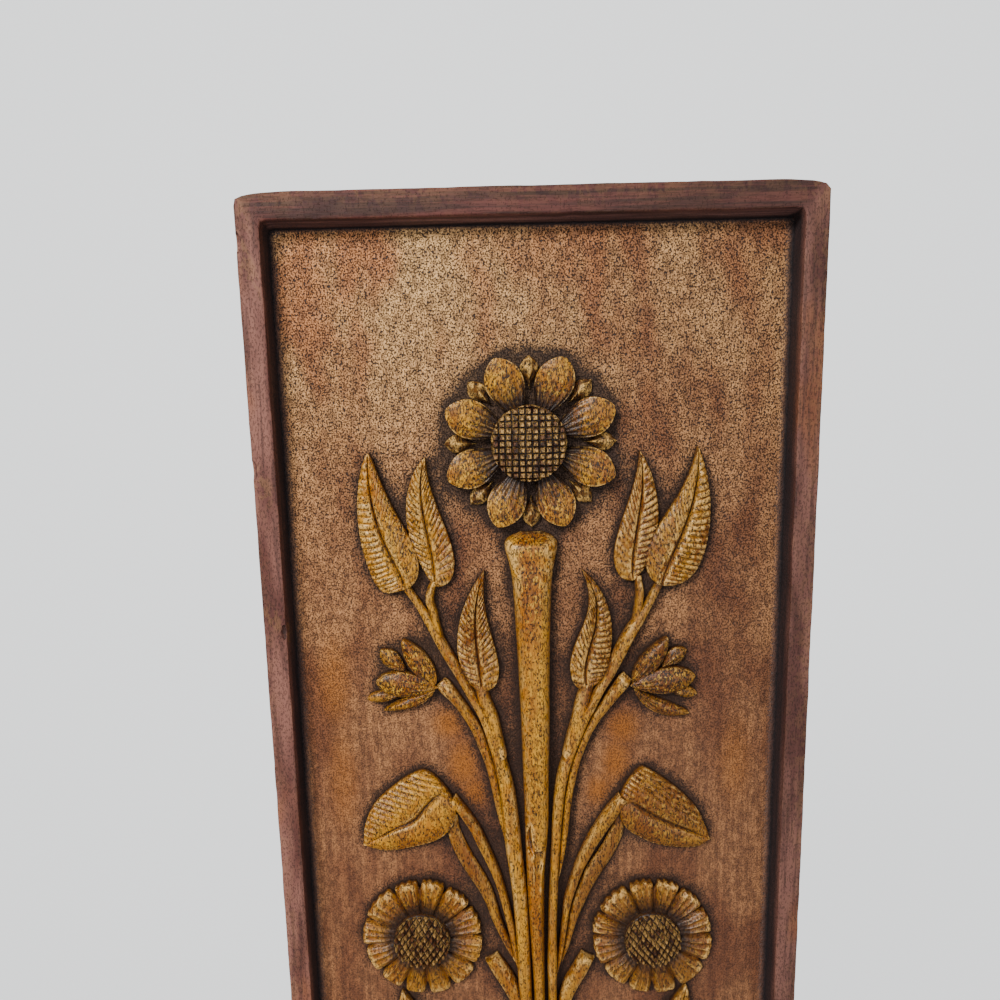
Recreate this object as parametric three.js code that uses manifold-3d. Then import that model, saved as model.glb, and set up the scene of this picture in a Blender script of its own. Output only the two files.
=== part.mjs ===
// A carved wall plaque. It is one plank: a raised border, a field sunk behind it, and a bunch of flowers,
// buds and leaves left standing in the field.
// While carving, x runs to the right, y up the panel and z out of the field's ground, all in millimetres.

import * as THREE from 'three';
import { mergeVertices } from 'three/addons/utils/BufferGeometryUtils.js';
import Module from 'manifold-3d';

const wasm = await Module();
wasm.setup();

// The plank and its border. The border is wider along the top and bottom, where its inner wall leans.
const PANEL_WIDTH = 305;
const PANEL_HEIGHT = 762;
const PANEL_THICKNESS = 32;
const SIDE_BORDER = 12.5;
const END_BORDER = 14;
const RECESS_DEPTH = 14;
const SIDE_DRAFT = 0.5;
const END_DRAFT = 2;
const FRONT_EASE = 1;
const BACK_EASE = 1;
// Each outer corner bows over a long run along the top and drops a little at the side
const CORNER_RUN = 45;
const CORNER_DROP = 5;
const CORNER_SQUARENESS = 3;
const CORNER_FACETS = 6;
const FIELD_CORNER = 3;
const GROUND_THICKNESS = PANEL_THICKNESS - RECESS_DEPTH;

// The carving is drawn for a field of this size, in places of [right of the middle, down from the top edge]
const DRAWN_FIELD_WIDTH = 280;
const DRAWN_FIELD_HEIGHT = 734;
const DRAWN_RECESS = 14;
const DRAWN_MIDDLE = 381;
const FIELD_WIDTH = PANEL_WIDTH - 2 * SIDE_BORDER;
const FIELD_HEIGHT = PANEL_HEIGHT - 2 * END_BORDER;
const ACROSS = FIELD_WIDTH / DRAWN_FIELD_WIDTH;
const UPWARD = FIELD_HEIGHT / DRAWN_FIELD_HEIGHT;
const LIFTING = RECESS_DEPTH / DRAWN_RECESS;

// How deep every carved element's root reaches under the ground, and how far its top edge stands in from it
const ROOT = -1;
const FOOT = 0.4;
const TOP_SIDE = 0.94;
const MERGE_DISTANCE = 1e-4;
const SURFACE_TOLERANCE = 0.05;

// Narrow leaves. A side is [half width, share of the length where it is widest, fullness].
// sweep is how far each side's veins run on toward the tip, as a share of the leaf's length.
const LEAVES = [
  {
    rib: [[-73, 213], [-78, 197], [-94, 178], [-91, 136]],
    left: [15.2, 0.22, 0.6], right: [14.4, 0.38, 0.7], sweep: [0.03, 0.2], veins: 21, lift: 8,
  },
  {
    rib: [[-57.5, 212], [-54.5, 193], [-68.5, 165], [-60, 139]],
    left: [10.3, 0.5, 0.8], right: [12.3, 0.26, 0.8], sweep: [0.12, 0.16], veins: 19, lift: 6.5,
  },
  {
    rib: [[-32, 275], [-33, 252], [-39, 232], [-29, 203.5]],
    left: [11.3, 0.36, 0.85], right: [11.4, 0.22, 0.85], sweep: [0.12, 0.14], veins: 19, lift: 7,
  },
  {
    rib: [[70.5, 213.5], [74.5, 195], [92, 174], [89.5, 135.5]],
    left: [15, 0.33, 0.95], right: [16.5, 0.32, 0.85], sweep: [0.2, 0.05], veins: 21, lift: 8,
  },
  {
    rib: [[55, 210.5], [52, 192], [63.5, 164], [58, 137.5]],
    left: [10.8, 0.26, 0.9], right: [11.8, 0.42, 0.9], sweep: [0.18, 0.08], veins: 19, lift: 6.5,
  },
  {
    rib: [[29, 274.5], [22, 252], [46.5, 233], [26, 203.5]],
    left: [9, 0.25, 0.8], right: [13, 0.27, 0.9], sweep: [0.17, 0.05], veins: 19, lift: 7,
  },
];

// The broad pair under the daisies, plainer
const LOW_LEAVES = [
  {
    rib: [[-31, 563], [-48, 549], [-78, 527], [-86, 470]],
    left: [16, 0.45, 0.7], right: [17, 0.5, 0.7], sweep: [0.05, 0.16], veins: 9, lift: 7.5,
  },
  {
    rib: [[31, 563], [48, 549], [80, 527], [89, 468]],
    left: [17, 0.5, 0.7], right: [16, 0.45, 0.7], sweep: [0.16, 0.05], veins: 9, lift: 7.5,
  },
];

// Heart-shaped leaves, drawn by their two edges and their rib, each from the stalk to the tip
const HEART_LEAVES = [
  {
    left: [[-48, 346], [-51.5, 359], [-60, 367.5], [-75, 372], [-92, 374], [-105, 370]],
    rib: [[-48, 346], [-58, 338.5], [-66, 345], [-74, 354.5], [-86, 360], [-105, 370]],
    right: [
      [-48, 346], [-56, 333], [-66, 324], [-76, 326.5], [-88, 335], [-98, 345], [-103.5, 357], [-105, 370],
    ],
    sweep: [0.02, -0.03], veins: 17, lift: 8,
  },
  {
    left: [
      [46, 347], [51, 334.5], [57, 326.5], [63, 324], [79, 335], [88, 343.5], [95, 352.5], [101.5, 369],
    ],
    rib: [[46, 347], [55, 345], [62, 350], [74, 357], [88, 363], [101.5, 369]],
    right: [[46, 347], [51, 361], [60, 368], [70, 372.5], [82, 374.5], [94, 374], [101.5, 369]],
    sweep: [-0.03, 0.02], veins: 17, lift: 8,
  },
];

// Petals of the two side buds
const BUD_PETALS = [
  {
    rib: [[-75, 262], [-80, 258], [-85, 254], [-89.5, 249]],
    left: [5, 0.6, 0.7], right: [5, 0.6, 0.7], lift: 6,
  },
  {
    rib: [[-74, 274], [-82, 276], [-90, 277.5], [-98.5, 278.5]],
    left: [3.5, 0.65, 0.6], right: [3.5, 0.65, 0.6], lift: 5.5,
  },
  {
    rib: [[-59, 271], [-62, 262], [-71, 252], [-76.5, 243]],
    left: [6.5, 0.5, 0.7], right: [5.8, 0.5, 0.7], lift: 8,
  },
  {
    rib: [[-57, 271.5], [-68, 271], [-80, 268.5], [-92.5, 267.5]],
    left: [8.2, 0.62, 0.6], right: [7.2, 0.62, 0.6], lift: 8.5,
  },
  {
    rib: [[-59, 273.5], [-66, 278], [-78, 281], [-89, 285.3]],
    left: [4.5, 0.5, 0.8], right: [2.6, 0.5, 0.8], lift: 7,
  },
  {
    rib: [[72, 262], [76, 258], [80, 254.5], [85.5, 251.5]],
    left: [4.5, 0.6, 0.7], right: [4.5, 0.6, 0.7], lift: 6,
  },
  {
    rib: [[72, 274], [80, 276.5], [86, 277.5], [92, 278.5]],
    left: [3.5, 0.65, 0.6], right: [3.5, 0.65, 0.6], lift: 5.5,
  },
  {
    rib: [[55, 271], [58, 263], [67, 253], [74.5, 244]],
    left: [4, 0.5, 0.7], right: [7.5, 0.55, 0.7], lift: 8,
  },
  {
    rib: [[53.5, 272.5], [65, 272], [78, 270], [90.5, 267]],
    left: [8, 0.6, 0.6], right: [7.5, 0.6, 0.6], lift: 8.5,
  },
  {
    rib: [[56, 275], [64, 284], [75, 289], [88, 290]],
    left: [4, 0.55, 0.7], right: [4.5, 0.5, 0.7], lift: 6,
  },
];

// Stems, in rows of [right of the middle, down, width, lift]
const STEMS = [
  [[-74.5, 211, 5, 5], [-67, 222, 4.5, 6], [-60.7, 233, 5.8, 7], [-52.7, 249, 6.5, 7.5],
    [-44.7, 264, 6, 7.5],
    [-38.2, 277, 5.5, 7.5], [-31.5, 290, 6, 8], [-26.5, 303, 7.5, 8.5], [-22.5, 318, 8.5, 9],
    [-19, 335, 9.5, 9.5],
    [-17, 355, 10.5, 10], [-15.2, 375, 10, 10], [-13, 395, 9.5, 10], [-11.6, 415, 9, 10],
    [-10.7, 440, 8.8, 10.5],
    [-10, 467, 8.5, 10.5], [-8.4, 510, 8, 10], [-6.8, 560, 7, 9.5], [-6.4, 600, 6.4, 9],
    [-8.4, 640, 8, 8.5], [-11.4, 673, 9.6, 6.5]],
  [[-57.5, 209, 4.5, 5], [-60.3, 219, 5, 6], [-58.5, 227, 5, 6.5], [-55, 236, 4.5, 6.5],
    [-52, 243, 4, 6.5]],
  [[-53.5, 271, 8.5, 7], [-48, 278.5, 7, 7], [-41.5, 288, 6.5, 6.5], [-36, 298, 6.5, 6.5],
    [-31.8, 309, 6.5, 7],
    [-28.3, 320, 6, 7], [-26, 333, 5.5, 7.5], [-23.5, 348, 5, 8]],
  [[-33, 272, 8, 5], [-30.5, 281, 8, 7], [-26.5, 291, 7.5, 8], [-23.8, 302, 6.5, 8.5], [-21, 315, 6, 9]],
  [[-51, 341, 5, 8], [-44, 351.5, 6, 7.5], [-38.5, 361, 6.5, 7], [-34.5, 370.5, 6.5, 7], [-30.5, 380, 6, 7],
    [-26.6, 390, 5.5, 7], [-23.7, 400, 5, 7], [-21.3, 410, 5, 7], [-19.2, 420, 4.7, 7.5],
    [-17.3, 430, 4.5, 8], [-15, 448, 4, 8]],
  [[-51.5, 366, 9, 3], [-45.5, 379, 9.5, 3.5], [-39.5, 390, 9.5, 4], [-34, 400, 8.5, 4.5], [-30, 410, 7, 5],
    [-27.2, 420, 6, 5.5], [-23.5, 430, 5, 6], [-19, 440, 4.5, 6.5]],
  [[-30.4, 447.5, 9, 6.5], [-25.1, 456.5, 10.5, 7], [-18.6, 468.5, 10, 7.5], [-13.6, 482, 8, 7.5],
    [-11, 498, 6, 7]],
  [[70.5, 211, 5, 5], [65, 222, 5, 6], [58.6, 233, 6.7, 7], [52.6, 243, 7.7, 7.5], [47.1, 254, 7.7, 7.5],
    [42, 265, 6.3, 7.5], [36.8, 274, 5.6, 7.5], [31.5, 284, 6, 8], [26.5, 294, 6.5, 8], [21.8, 305, 7, 8.5],
    [17, 318, 7, 9], [13.5, 332, 7, 9.5], [11.3, 350, 6.5, 10], [10, 370, 6, 10], [8.8, 390, 5.5, 10],
    [7.8, 410, 5.5, 10],
    [7.2, 430, 5.5, 10.5], [7, 452, 6.6, 10.5], [6.8, 467, 5.5, 10.5], [7, 510, 6, 10],
    [6.6, 560, 6.4, 9.5],
    [6.2, 600, 6, 9], [8.4, 640, 7.6, 8.5], [11.8, 675, 9, 6.5]],
  [[57.5, 208, 4.5, 5], [58.8, 219, 5, 6], [56, 229, 5, 6.5], [52, 238, 4.5, 7]],
  [[50.5, 269.5, 8.5, 6.5], [45, 277, 7.5, 7], [38.5, 286, 6.5, 6.5], [33.5, 293, 6, 6.5],
    [29, 301, 5.5, 7],
    [25.3, 310, 5.5, 7], [21.8, 320, 5.5, 7.5], [19, 332, 5.5, 8], [16.8, 346, 5, 8],
    [15.2, 362, 4.5, 8.5], [13.3, 380, 4, 9]],
  [[29, 272, 8, 5], [26, 283, 8.5, 7], [23.5, 293, 8, 8], [20, 304, 7, 8.5], [17, 315, 6, 9]],
  [[50, 342, 6, 8], [44.5, 350, 8.5, 7.5], [38, 360, 8.5, 7], [32, 370, 8, 7], [27, 380, 7, 7],
    [22.8, 390, 6, 7],
    [19.6, 400, 5.5, 7], [16.8, 410, 5, 7], [15.2, 420, 4, 7.5], [13.9, 430, 3.7, 8],
    [11.6, 446, 3.4, 8.5]],
  [[45.5, 366, 9, 3], [40, 378, 9.5, 3.5], [33, 390, 10, 4], [28, 400, 8.5, 4.5], [24, 410, 7.5, 5],
    [20.5, 420, 6, 5.5],
    [18, 430, 4.5, 6], [15.5, 440, 4, 6.5]],
  [[29, 447, 9, 6.5], [24, 456.5, 10, 7], [18, 467.5, 9.5, 7.5], [13, 482, 7.5, 7.5], [9.5, 498, 6, 7]],
  [[-34, 560, 6.5, 5.5], [-24, 573, 7, 7], [-14, 588, 7, 8], [-12, 600, 6, 8], [-15, 628, 7, 7],
    [-20, 664, 8.4, 5.5]],
  [[34, 560, 6.5, 5.5], [24, 573, 7, 7], [14, 588, 7, 8], [12, 600, 6, 8], [15, 628, 7, 7],
    [20, 664, 8.4, 5.5]],
];
const MAIN_STEM = [
  [-2.3, 181.6, 13, 4], [-2.3, 184.5, 25, 7], [-2.3, 189, 30, 12], [-2.1, 200, 25.5, 12],
    [-2, 214, 22, 12.5],
  [-1.7, 260, 18.3, 12.5], [-1.3, 295, 16.8, 12.5], [-1.4, 330, 15.2, 12.5], [-1.5, 360, 14, 12.5],
  [-2.5, 390, 11, 12], [-2.1, 430, 8.8, 12], [-1.3, 467, 6.8, 12], [-0.8, 510, 7, 11.5],
    [0, 560, 7, 11], [0, 600, 6.5, 10],
  [0, 678, 9.6, 7.5],
];
const TIE = [
  [-18.5, 598, 14, 4.5], [-13, 598, 15, 9.5], [0, 598, 15.5, 12.2], [13, 598, 15, 9.5], [18.5, 598, 14, 4.5],
];
// The cut where one strand of the main stem overlies another.
// Its rows are [right, down, width, depth below the stem's top].
const STRAND_CUT = [[0.5, 371, 9, 2.6], [0.2, 384, 8.6, 1.9], [-0.5, 402, 7.6, 0.9], [-1, 424, 6, 0.1]];
const STRAND_POCKET = [
  [-5.2, 354, 0.6, 0.3], [-6.2, 361, 3.2, 3.6], [-5.6, 369, 4.2, 3.6], [-3.4, 374.5, 1, 0.4],
];
const STEM_TOP = 12.5;

// Cross-sections as [share of the half width, share of the lift]
const STEM_SECTION = [[-0.93, 0.5], [-0.45, 0.93], [0.45, 0.93], [0.93, 0.5]];
const MAIN_STEM_SECTION = [[-0.96, 0.42], [-0.5, 0.96], [0.5, 0.96], [0.96, 0.42]];
const STEM_STEP = 34;
const TIE_STEP = 12;
const FEWEST_STEM_SPANS = 3;
const STRAND_FLOOR_SHARE = 0.7;

// The sunflower at the top
const SUNFLOWER = {
  centre: [-1.8, 132], discCentre: [-2.7, 131.8], disc: 20.8, discLift: 12.4, discDome: 2.6,
  seedPitch: [3.6, 3.45], seedHeight: 1, petals: 8, firstPetal: 22.5, petalFrom: 12, petalTo: 49.5,
  petalHalf: 10.8, petalWidest: 0.63, petalFullness: 0.65, petalLift: 9, grooveDepth: 0.9,
  sepalFrom: 30, sepalTo: 47.5, sepalHalf: 4.3, sepalWidest: 0.6, sepalFullness: 0.9,
  sepalLift: 5, sepalEdge: 0.6,
};

// The two daisies. cuts are the angles between petals, clockwise from straight up.
const DAISIES = [
  {
    centre: [-71.6, 433], disc: [-72, 432.5], lean: 4,
    cuts: [-29, -2, 24.5, 54.5, 88, 121.5, 152, 177.5, 202, 230, 262, 292],
  },
  {
    centre: [68, 434.5], disc: [67.5, 433.5], lean: -8,
    cuts: [-25, 2, 28, 56.5, 87, 119, 154, 179.5, 205, 237, 273, 298],
  },
];
const DAISY = {
  rim: 37.2, petalLift: 7, flutes: 4, fluteDepth: 1.3, cutDepth: 4, cutReach: 0.93, valleyReach: 0.975,
  middleLift: 6, petalsFrom: 18, rootFacets: 36, rootReach: 0.99, disc: 17.2, discLift: 10.6, discDome: 2,
  diamond: [3.85, 6.4], diamondHeight: 1,
};
const DRUM_FACETS = 24;
const DRUM_STEP = 0.8;
// A seed belongs to a disc when its middle lies within this share of the disc's radius
const CELL_REACH = 0.97;

// Small losses along the border's edges: [right, down, radius]
const CHIPS = [[-151.6, 25, 3], [-151.8, 143, 3.2], [-140.6, 234, 2.4]];
const CHIP_WIDTH_SHARE = 0.8;
const CHIP_LENGTH_SHARE = 1.9;

const fullTurn = Math.PI * 2;

function place([across, down]) {
  return new THREE.Vector2(across * ACROSS, (DRAWN_MIDDLE - down) * UPWARD);
}

// A Manifold solid from corners and faces, its repeated corners joined and its faces turned outward
function solid(corners, faces) {
  const geometry = new THREE.BufferGeometry();
  geometry.setAttribute('position', new THREE.Float32BufferAttribute(corners, 3));
  geometry.setIndex(faces);
  return closedSolid(geometry);
}

function closedSolid(geometry) {
  geometry.deleteAttribute('normal');
  geometry.deleteAttribute('uv');
  const joined = mergeVertices(geometry, MERGE_DISTANCE);
  const place3 = joined.getAttribute('position');
  const index = joined.getIndex();
  const corner = [new THREE.Vector3(), new THREE.Vector3(), new THREE.Vector3()];
  const kept = [];
  let volume = 0;
  for (let i = 0; i < index.count; i += 3) {
    const [a, b, c] = [index.getX(i), index.getX(i + 1), index.getX(i + 2)];
    if (a !== b && b !== c && c !== a) {
      corner[0].fromBufferAttribute(place3, a);
      corner[1].fromBufferAttribute(place3, b);
      corner[2].fromBufferAttribute(place3, c);
      volume += corner[0].dot(corner[1].cross(corner[2]));
      kept.push(a, b, c);
    }
  }
  if (volume < 0) {
    kept.reverse();
  }
  return new wasm.Manifold(new wasm.Mesh({
    numProp: 3,
    vertProperties: Float32Array.from(place3.array),
    triVerts: Uint32Array.from(kept),
  }));
}

// A solid skinned over rings of corners, each ring with the same count, and capped at both ends
function loft(rings) {
  const around = rings[0].length;
  const faces = [];
  for (let row = 0; row + 1 < rings.length; row += 1) {
    for (let k = 0; k < around; k += 1) {
      const a = row * around + k;
      const b = row * around + ((k + 1) % around);
      faces.push(a, b, b + around, a, b + around, a + around);
    }
  }
  const last = (rings.length - 1) * around;
  for (let k = 1; k + 1 < around; k += 1) {
    faces.push(0, k + 1, k, last, last + k, last + k + 1);
  }
  return solid(rings.flat(2), faces);
}

// Smooth values through rows of numbers, at a share from the first row to the last
function through(rows, share) {
  const spans = rows.length - 1;
  const first = Math.min(Math.floor(share * spans), spans - 1);
  const f = share * spans - first;
  return rows[0].map((_, column) => {
    const b = rows[first][column];
    const c = rows[first + 1][column];
    const a = first > 0 ? rows[first - 1][column] : 2 * b - c;
    const d = first + 2 <= spans ? rows[first + 2][column] : 2 * c - b;
    return 0.5 * (2 * b + (c - a) * f + (2 * a - 5 * b + 4 * c - d) * f ** 2 + (3 * b - a - 3 * c + d) * f ** 3);
  });
}

function swell(share, widest, fullness) {
  const shifted = share ** (Math.log(0.5) / Math.log(widest));
  return Math.max(Math.sin(Math.PI * shifted), 0) ** fullness;
}

// Plan of a blade from its rib and its two sides.
// It gives the place at a share along and a side from -1 to 1.
function ribPlan({ rib, left, right }) {
  const curve = new THREE.CubicBezierCurve(...rib.map(place));
  return (share, side) => {
    const middle = curve.getPoint(share);
    const ahead = curve.getTangent(share);
    const [half, widest, fullness] = side < 0 ? left : right;
    const reach = side * half * ACROSS * swell(share, widest, fullness);
    return [middle.x + ahead.y * reach, middle.y - ahead.x * reach];
  };
}

// Plan of a blade from its rib and its two edges
function edgePlan({ rib, left, right }) {
  return (share, side) => {
    const middle = place(through(rib, share));
    const edge = place(through(side < 0 ? left : right, share));
    return middle.lerp(edge, Math.abs(side)).toArray();
  };
}

// Plan of a petal that points straight out of a flower's middle
function rayPlan({ centre, angle, from, to, half, widest, fullness }) {
  const middle = place(centre);
  const turn = THREE.MathUtils.degToRad(angle);
  const ahead = new THREE.Vector2(Math.sin(turn), Math.cos(turn));
  return (share, side) => {
    const out = (from + (to - from) * share) * ACROSS;
    const reach = side * half * ACROSS * swell(share, widest, fullness);
    return [middle.x + ahead.x * out + ahead.y * reach, middle.y + ahead.y * out - ahead.x * reach];
  };
}

// A blade-shaped solid: rows across it at the given shares, and columns along it
function blade(plan, shares, columns, heightAt) {
  return loft(shares.map((share) => {
    const corner = (side, height) => [...plan(share, side), height * LIFTING];
    return [
      corner(-1, ROOT),
      ...columns.map((side) => corner(side, heightAt(share, side))),
      corner(1, ROOT),
    ];
  }));
}

// A solid between columns of corners that all start at one end and finish at the other. A column's corners
// are [share along, corner]; neighbouring columns may have different counts.
function strips(columns) {
  const starts = [];
  let total = 0;
  columns.forEach((column) => {
    starts.push(total);
    total += column.length;
  });
  const faces = [];
  columns.forEach((column, k) => {
    const nextColumn = columns[(k + 1) % columns.length];
    const start = starts[k];
    const nextStart = starts[(k + 1) % columns.length];
    let a = 0;
    let b = 0;
    while (a + 1 < column.length || b + 1 < nextColumn.length) {
      const aNext = a + 1 < column.length ? column[a + 1][0] : Infinity;
      const bNext = b + 1 < nextColumn.length ? nextColumn[b + 1][0] : Infinity;
      if (aNext <= bNext) {
        faces.push(start + a, nextStart + b, start + a + 1);
        a += 1;
      } else {
        faces.push(start + a, nextStart + b, nextStart + b + 1);
        b += 1;
      }
    }
  });
  return solid(columns.flat().flatMap(([, corner]) => corner), faces);
}

// Shares of a leaf's lift: at its two ends, along its edges, on the crown of each half and down its rib
const LEAF_END = 0.62;
const LEAF_EDGE = 0.78;
const LEAF_CROWN = 1;
const LEAF_CROWN_SIDE = 0.5;
const LEAF_RIB = 0.55;
const LEAF_BODY = 0.4;
const VEIN_HALF_DEPTH = 0.65;
const VEINS_PER_CROWN_STEP = 2;
const VEINS_PER_RIB_STEP = 3;
const VEINS_PER_ROOT_STEP = 2;

// A leaf whose edges rise and fall with its veins, with a crowned half on each side of a sunk rib
function veinedLeaf(plan, { veins, sweep, lift }) {
  // A vein leaves the rib and runs on toward the tip, most at the leaf's middle and not at all at its ends
  const at = (share, side, height) => {
    const run = Math.abs(side) * (side < 0 ? sweep[0] : sweep[1]) * 4 * share * (1 - share);
    return [share, [...plan(Math.min(share + run, 1), side), height * LIFTING]];
  };
  const steps = (count) => Array.from({ length: count + 1 }, (_, k) => k / count);
  const top = (share, side, cross, vein) => {
    const body = Math.sin(Math.PI * share) ** LEAF_BODY;
    return at(share, side, lift * (LEAF_END + (cross - LEAF_END) * body) + vein * body);
  };
  const edge = (side) => steps(2 * veins).map((share, k) => (
    top(share, side, LEAF_EDGE, VEIN_HALF_DEPTH * (k % 2 === 0 ? -1 : 1))
  ));
  const coarse = (veinsPerStep) => steps(Math.ceil(veins / veinsPerStep));
  const crown = (side) => coarse(VEINS_PER_CROWN_STEP).map((share) => top(share, side, LEAF_CROWN, 0));
  const low = (side, height) => coarse(VEINS_PER_ROOT_STEP).map((share) => at(share, side, height));
  return strips([
    low(-1, ROOT),
    low(-1, FOOT),
    edge(-TOP_SIDE),
    crown(-LEAF_CROWN_SIDE),
    coarse(VEINS_PER_RIB_STEP).map((share) => top(share, 0, LEAF_RIB, 0)),
    crown(LEAF_CROWN_SIDE),
    edge(TOP_SIDE),
    low(1, FOOT),
    low(1, ROOT),
  ]);
}

const BUD_SHARES = [0, 0.12, 0.32, 0.55, 0.78, 0.93, 1];
const BUD_COLUMNS = [-TOP_SIDE, -0.35, 0.35, TOP_SIDE];
const BUD_EDGE = 0.66;
const BUD_BODY = 0.5;

function budPetal(petal) {
  const heightAt = (share, side) => {
    const body = Math.sin(Math.PI * share) ** BUD_BODY;
    const cross = Math.abs(side) < TOP_SIDE ? 1 : BUD_EDGE;
    return petal.lift * (BUD_EDGE + (cross - BUD_EDGE) * body);
  };
  return blade(ribPlan(petal), BUD_SHARES, BUD_COLUMNS, heightAt);
}

// A stem along rows of [right, down, width, lift], with the given cross-section
function stem(rows, section, step) {
  const run = (row, next) => Math.hypot(next[0] - row[0], next[1] - row[1]);
  const length = rows.slice(1).reduce((sum, next, k) => sum + run(rows[k], next), 0);
  const spans = Math.max(Math.ceil(length / step), FEWEST_STEM_SPANS);
  const rings = [];
  for (let k = 0; k <= spans; k += 1) {
    rings.push(stemRing(rows, section, k / spans));
  }
  return loft(rings);
}

// The share of a stem looked ahead and back along it to find its direction
const STEM_NUDGE = 0.01;

function stemRing(rows, section, share) {
  const [across, down, width, lift] = through(rows, share);
  const before = place(through(rows, Math.max(share - STEM_NUDGE, 0)));
  const ahead = place(through(rows, Math.min(share + STEM_NUDGE, 1))).sub(before).normalize();
  const middle = place([across, down]);
  const corner = (side, height) => {
    const reach = side * (width / 2) * ACROSS;
    return [middle.x + ahead.y * reach, middle.y - ahead.x * reach, height * LIFTING];
  };
  return [corner(-1, ROOT), ...section.map(([side, rise]) => corner(side, rise * lift)), corner(1, ROOT)];
}

// The main stem keeps every drawn row near its cut top, where its outline turns fast
function mainStem() {
  return loft(MAIN_STEM.map((_, k) => stemRing(MAIN_STEM, MAIN_STEM_SECTION, k / (MAIN_STEM.length - 1))));
}

// A tapering cutter whose floor lies below the main stem's top, for the overlapping strands
function strandCutter(rows) {
  const above = STEM_TOP + 1;
  return loft(rows.map(([across, down, width, depth]) => {
    const middle = place([across, down]);
    const half = (width / 2) * ACROSS;
    const floor = (STEM_TOP - depth) * LIFTING;
    return [
      [middle.x - half, middle.y, above * LIFTING],
      [middle.x - half * STRAND_FLOOR_SHARE, middle.y, floor],
      [middle.x + half * STRAND_FLOOR_SHARE, middle.y, floor],
      [middle.x + half, middle.y, above * LIFTING],
    ];
  }));
}

// A domed disc of raised cells. The cells lie on the lattice of two steps and stand on a plain round drum.
function seedDisc({ centre, radius, lift, dome, steps, cellHeight, lean }) {
  const middle = place(centre);
  const size = radius * ACROSS;
  const turn = -THREE.MathUtils.degToRad(lean);
  const pivot = new THREE.Vector2();
  const laid = (step) => new THREE.Vector2(...step).multiplyScalar(ACROSS).rotateAround(pivot, turn);
  const [stepA, stepB] = steps.map(laid);
  const reach = Math.ceil((2 * size) / Math.min(stepA.length(), stepB.length()));
  const corners = [];
  const numbers = new Map();
  const faces = [];
  const spot = (i, j) => [stepA.x * i + stepB.x * j, stepA.y * i + stepB.y * j];
  const held = (i, j) => Math.hypot(...spot(i + 0.5, j + 0.5)) < size * CELL_REACH;
  const number = (i, j, level) => {
    const key = `${i} ${j} ${level}`;
    if (!numbers.has(key)) {
      const [x, y] = spot(i, j);
      const trim = Math.min(1, size / Math.max(Math.hypot(x, y), size / 2));
      const fall = dome * (Math.hypot(x, y) * trim / size) ** 2;
      const height = level === 'root' ? ROOT : lift - fall + (level === 'apex' ? cellHeight : 0);
      numbers.set(key, corners.length / 3);
      corners.push(middle.x + x * trim, middle.y + y * trim, height * LIFTING);
    }
    return numbers.get(key);
  };
  for (let i = -reach; i < reach; i += 1) {
    for (let j = -reach; j < reach; j += 1) {
      if (held(i, j)) {
        const ring = [[i, j], [i + 1, j], [i + 1, j + 1], [i, j + 1]];
        const beyond = [[i, j - 1], [i + 1, j], [i, j + 1], [i - 1, j]];
        const apex = number(i + 0.5, j + 0.5, 'apex');
        const roots = ring.map(([a, b]) => number(a, b, 'root'));
        ring.forEach(([a, b], k) => {
          const next = ring[(k + 1) % 4];
          const start = number(a, b, 'top');
          const end = number(...next, 'top');
          faces.push(start, end, apex);
          if (!held(...beyond[k])) {
            faces.push(start, roots[k], end, end, roots[k], roots[(k + 1) % 4]);
          }
        });
        faces.push(roots[0], roots[2], roots[1], roots[0], roots[3], roots[2]);
      }
    }
  }
  const drumLift = (lift - dome - DRUM_STEP) * LIFTING;
  const drum = new THREE.CylinderGeometry(size, size, drumLift - ROOT, DRUM_FACETS);
  drum.rotateX(Math.PI / 2);
  drum.translate(middle.x, middle.y, (drumLift + ROOT) / 2);
  return solid(corners, faces).add(closedSolid(drum));
}

// The ring of fluted petals around a daisy's disc
function daisyPetals({ centre, cuts }) {
  const middle = place(centre);
  const rim = [];
  const columns = 2 * DAISY.flutes;
  const at = (turn, out, height) => [
    turn, [middle.x + Math.sin(turn) * out * ACROSS, middle.y + Math.cos(turn) * out * ACROSS, height * LIFTING],
  ];
  cuts.forEach((cut, k) => {
    const next = k + 1 < cuts.length ? cuts[k + 1] : cuts[0] + 360;
    for (let step = 0; step < columns; step += 1) {
      const turn = THREE.MathUtils.degToRad(cut + ((next - cut) * step) / columns);
      if (step === 0) {
        rim.push(at(turn, DAISY.rim * DAISY.cutReach, DAISY.petalLift - DAISY.cutDepth));
      } else if (step % 2 === 0) {
        rim.push(at(turn, DAISY.rim * DAISY.valleyReach, DAISY.petalLift - DAISY.fluteDepth));
      } else {
        rim.push(at(turn, DAISY.rim, DAISY.petalLift));
      }
    }
  });
  const first = THREE.MathUtils.degToRad(cuts[0]);
  rim.push([first + fullTurn, rim[0][1]]);
  const ring = (count, out, height) => Array.from({ length: count + 1 }, (_, k) => (
    at(first + (fullTurn * k) / count, out, height)
  ));
  return strips([
    [at(first, 0, DAISY.middleLift)],
    ring(DRUM_FACETS, DAISY.petalsFrom, DAISY.middleLift),
    rim,
    ring(DAISY.rootFacets, DAISY.rim * DAISY.rootReach, FOOT),
    ring(DAISY.rootFacets, DAISY.rim * DAISY.rootReach, ROOT),
    [at(first, 0, ROOT)],
  ]);
}

const PETAL_SHARES = [0, 0.2, 0.42, 0.62, 0.82, 0.94, 1];
const PETAL_GROOVE_SIDE = 0.5;
const PETAL_COLUMNS = [-TOP_SIDE, -PETAL_GROOVE_SIDE, 0, PETAL_GROOVE_SIDE, TOP_SIDE];
// A petal's lift at its base, the share of its length on which it stands highest, and how far its edges fall
const PETAL_BASE = 0.6;
const PETAL_CREST = 0.73;
const PETAL_EDGE_FALL = 0.3;

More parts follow.
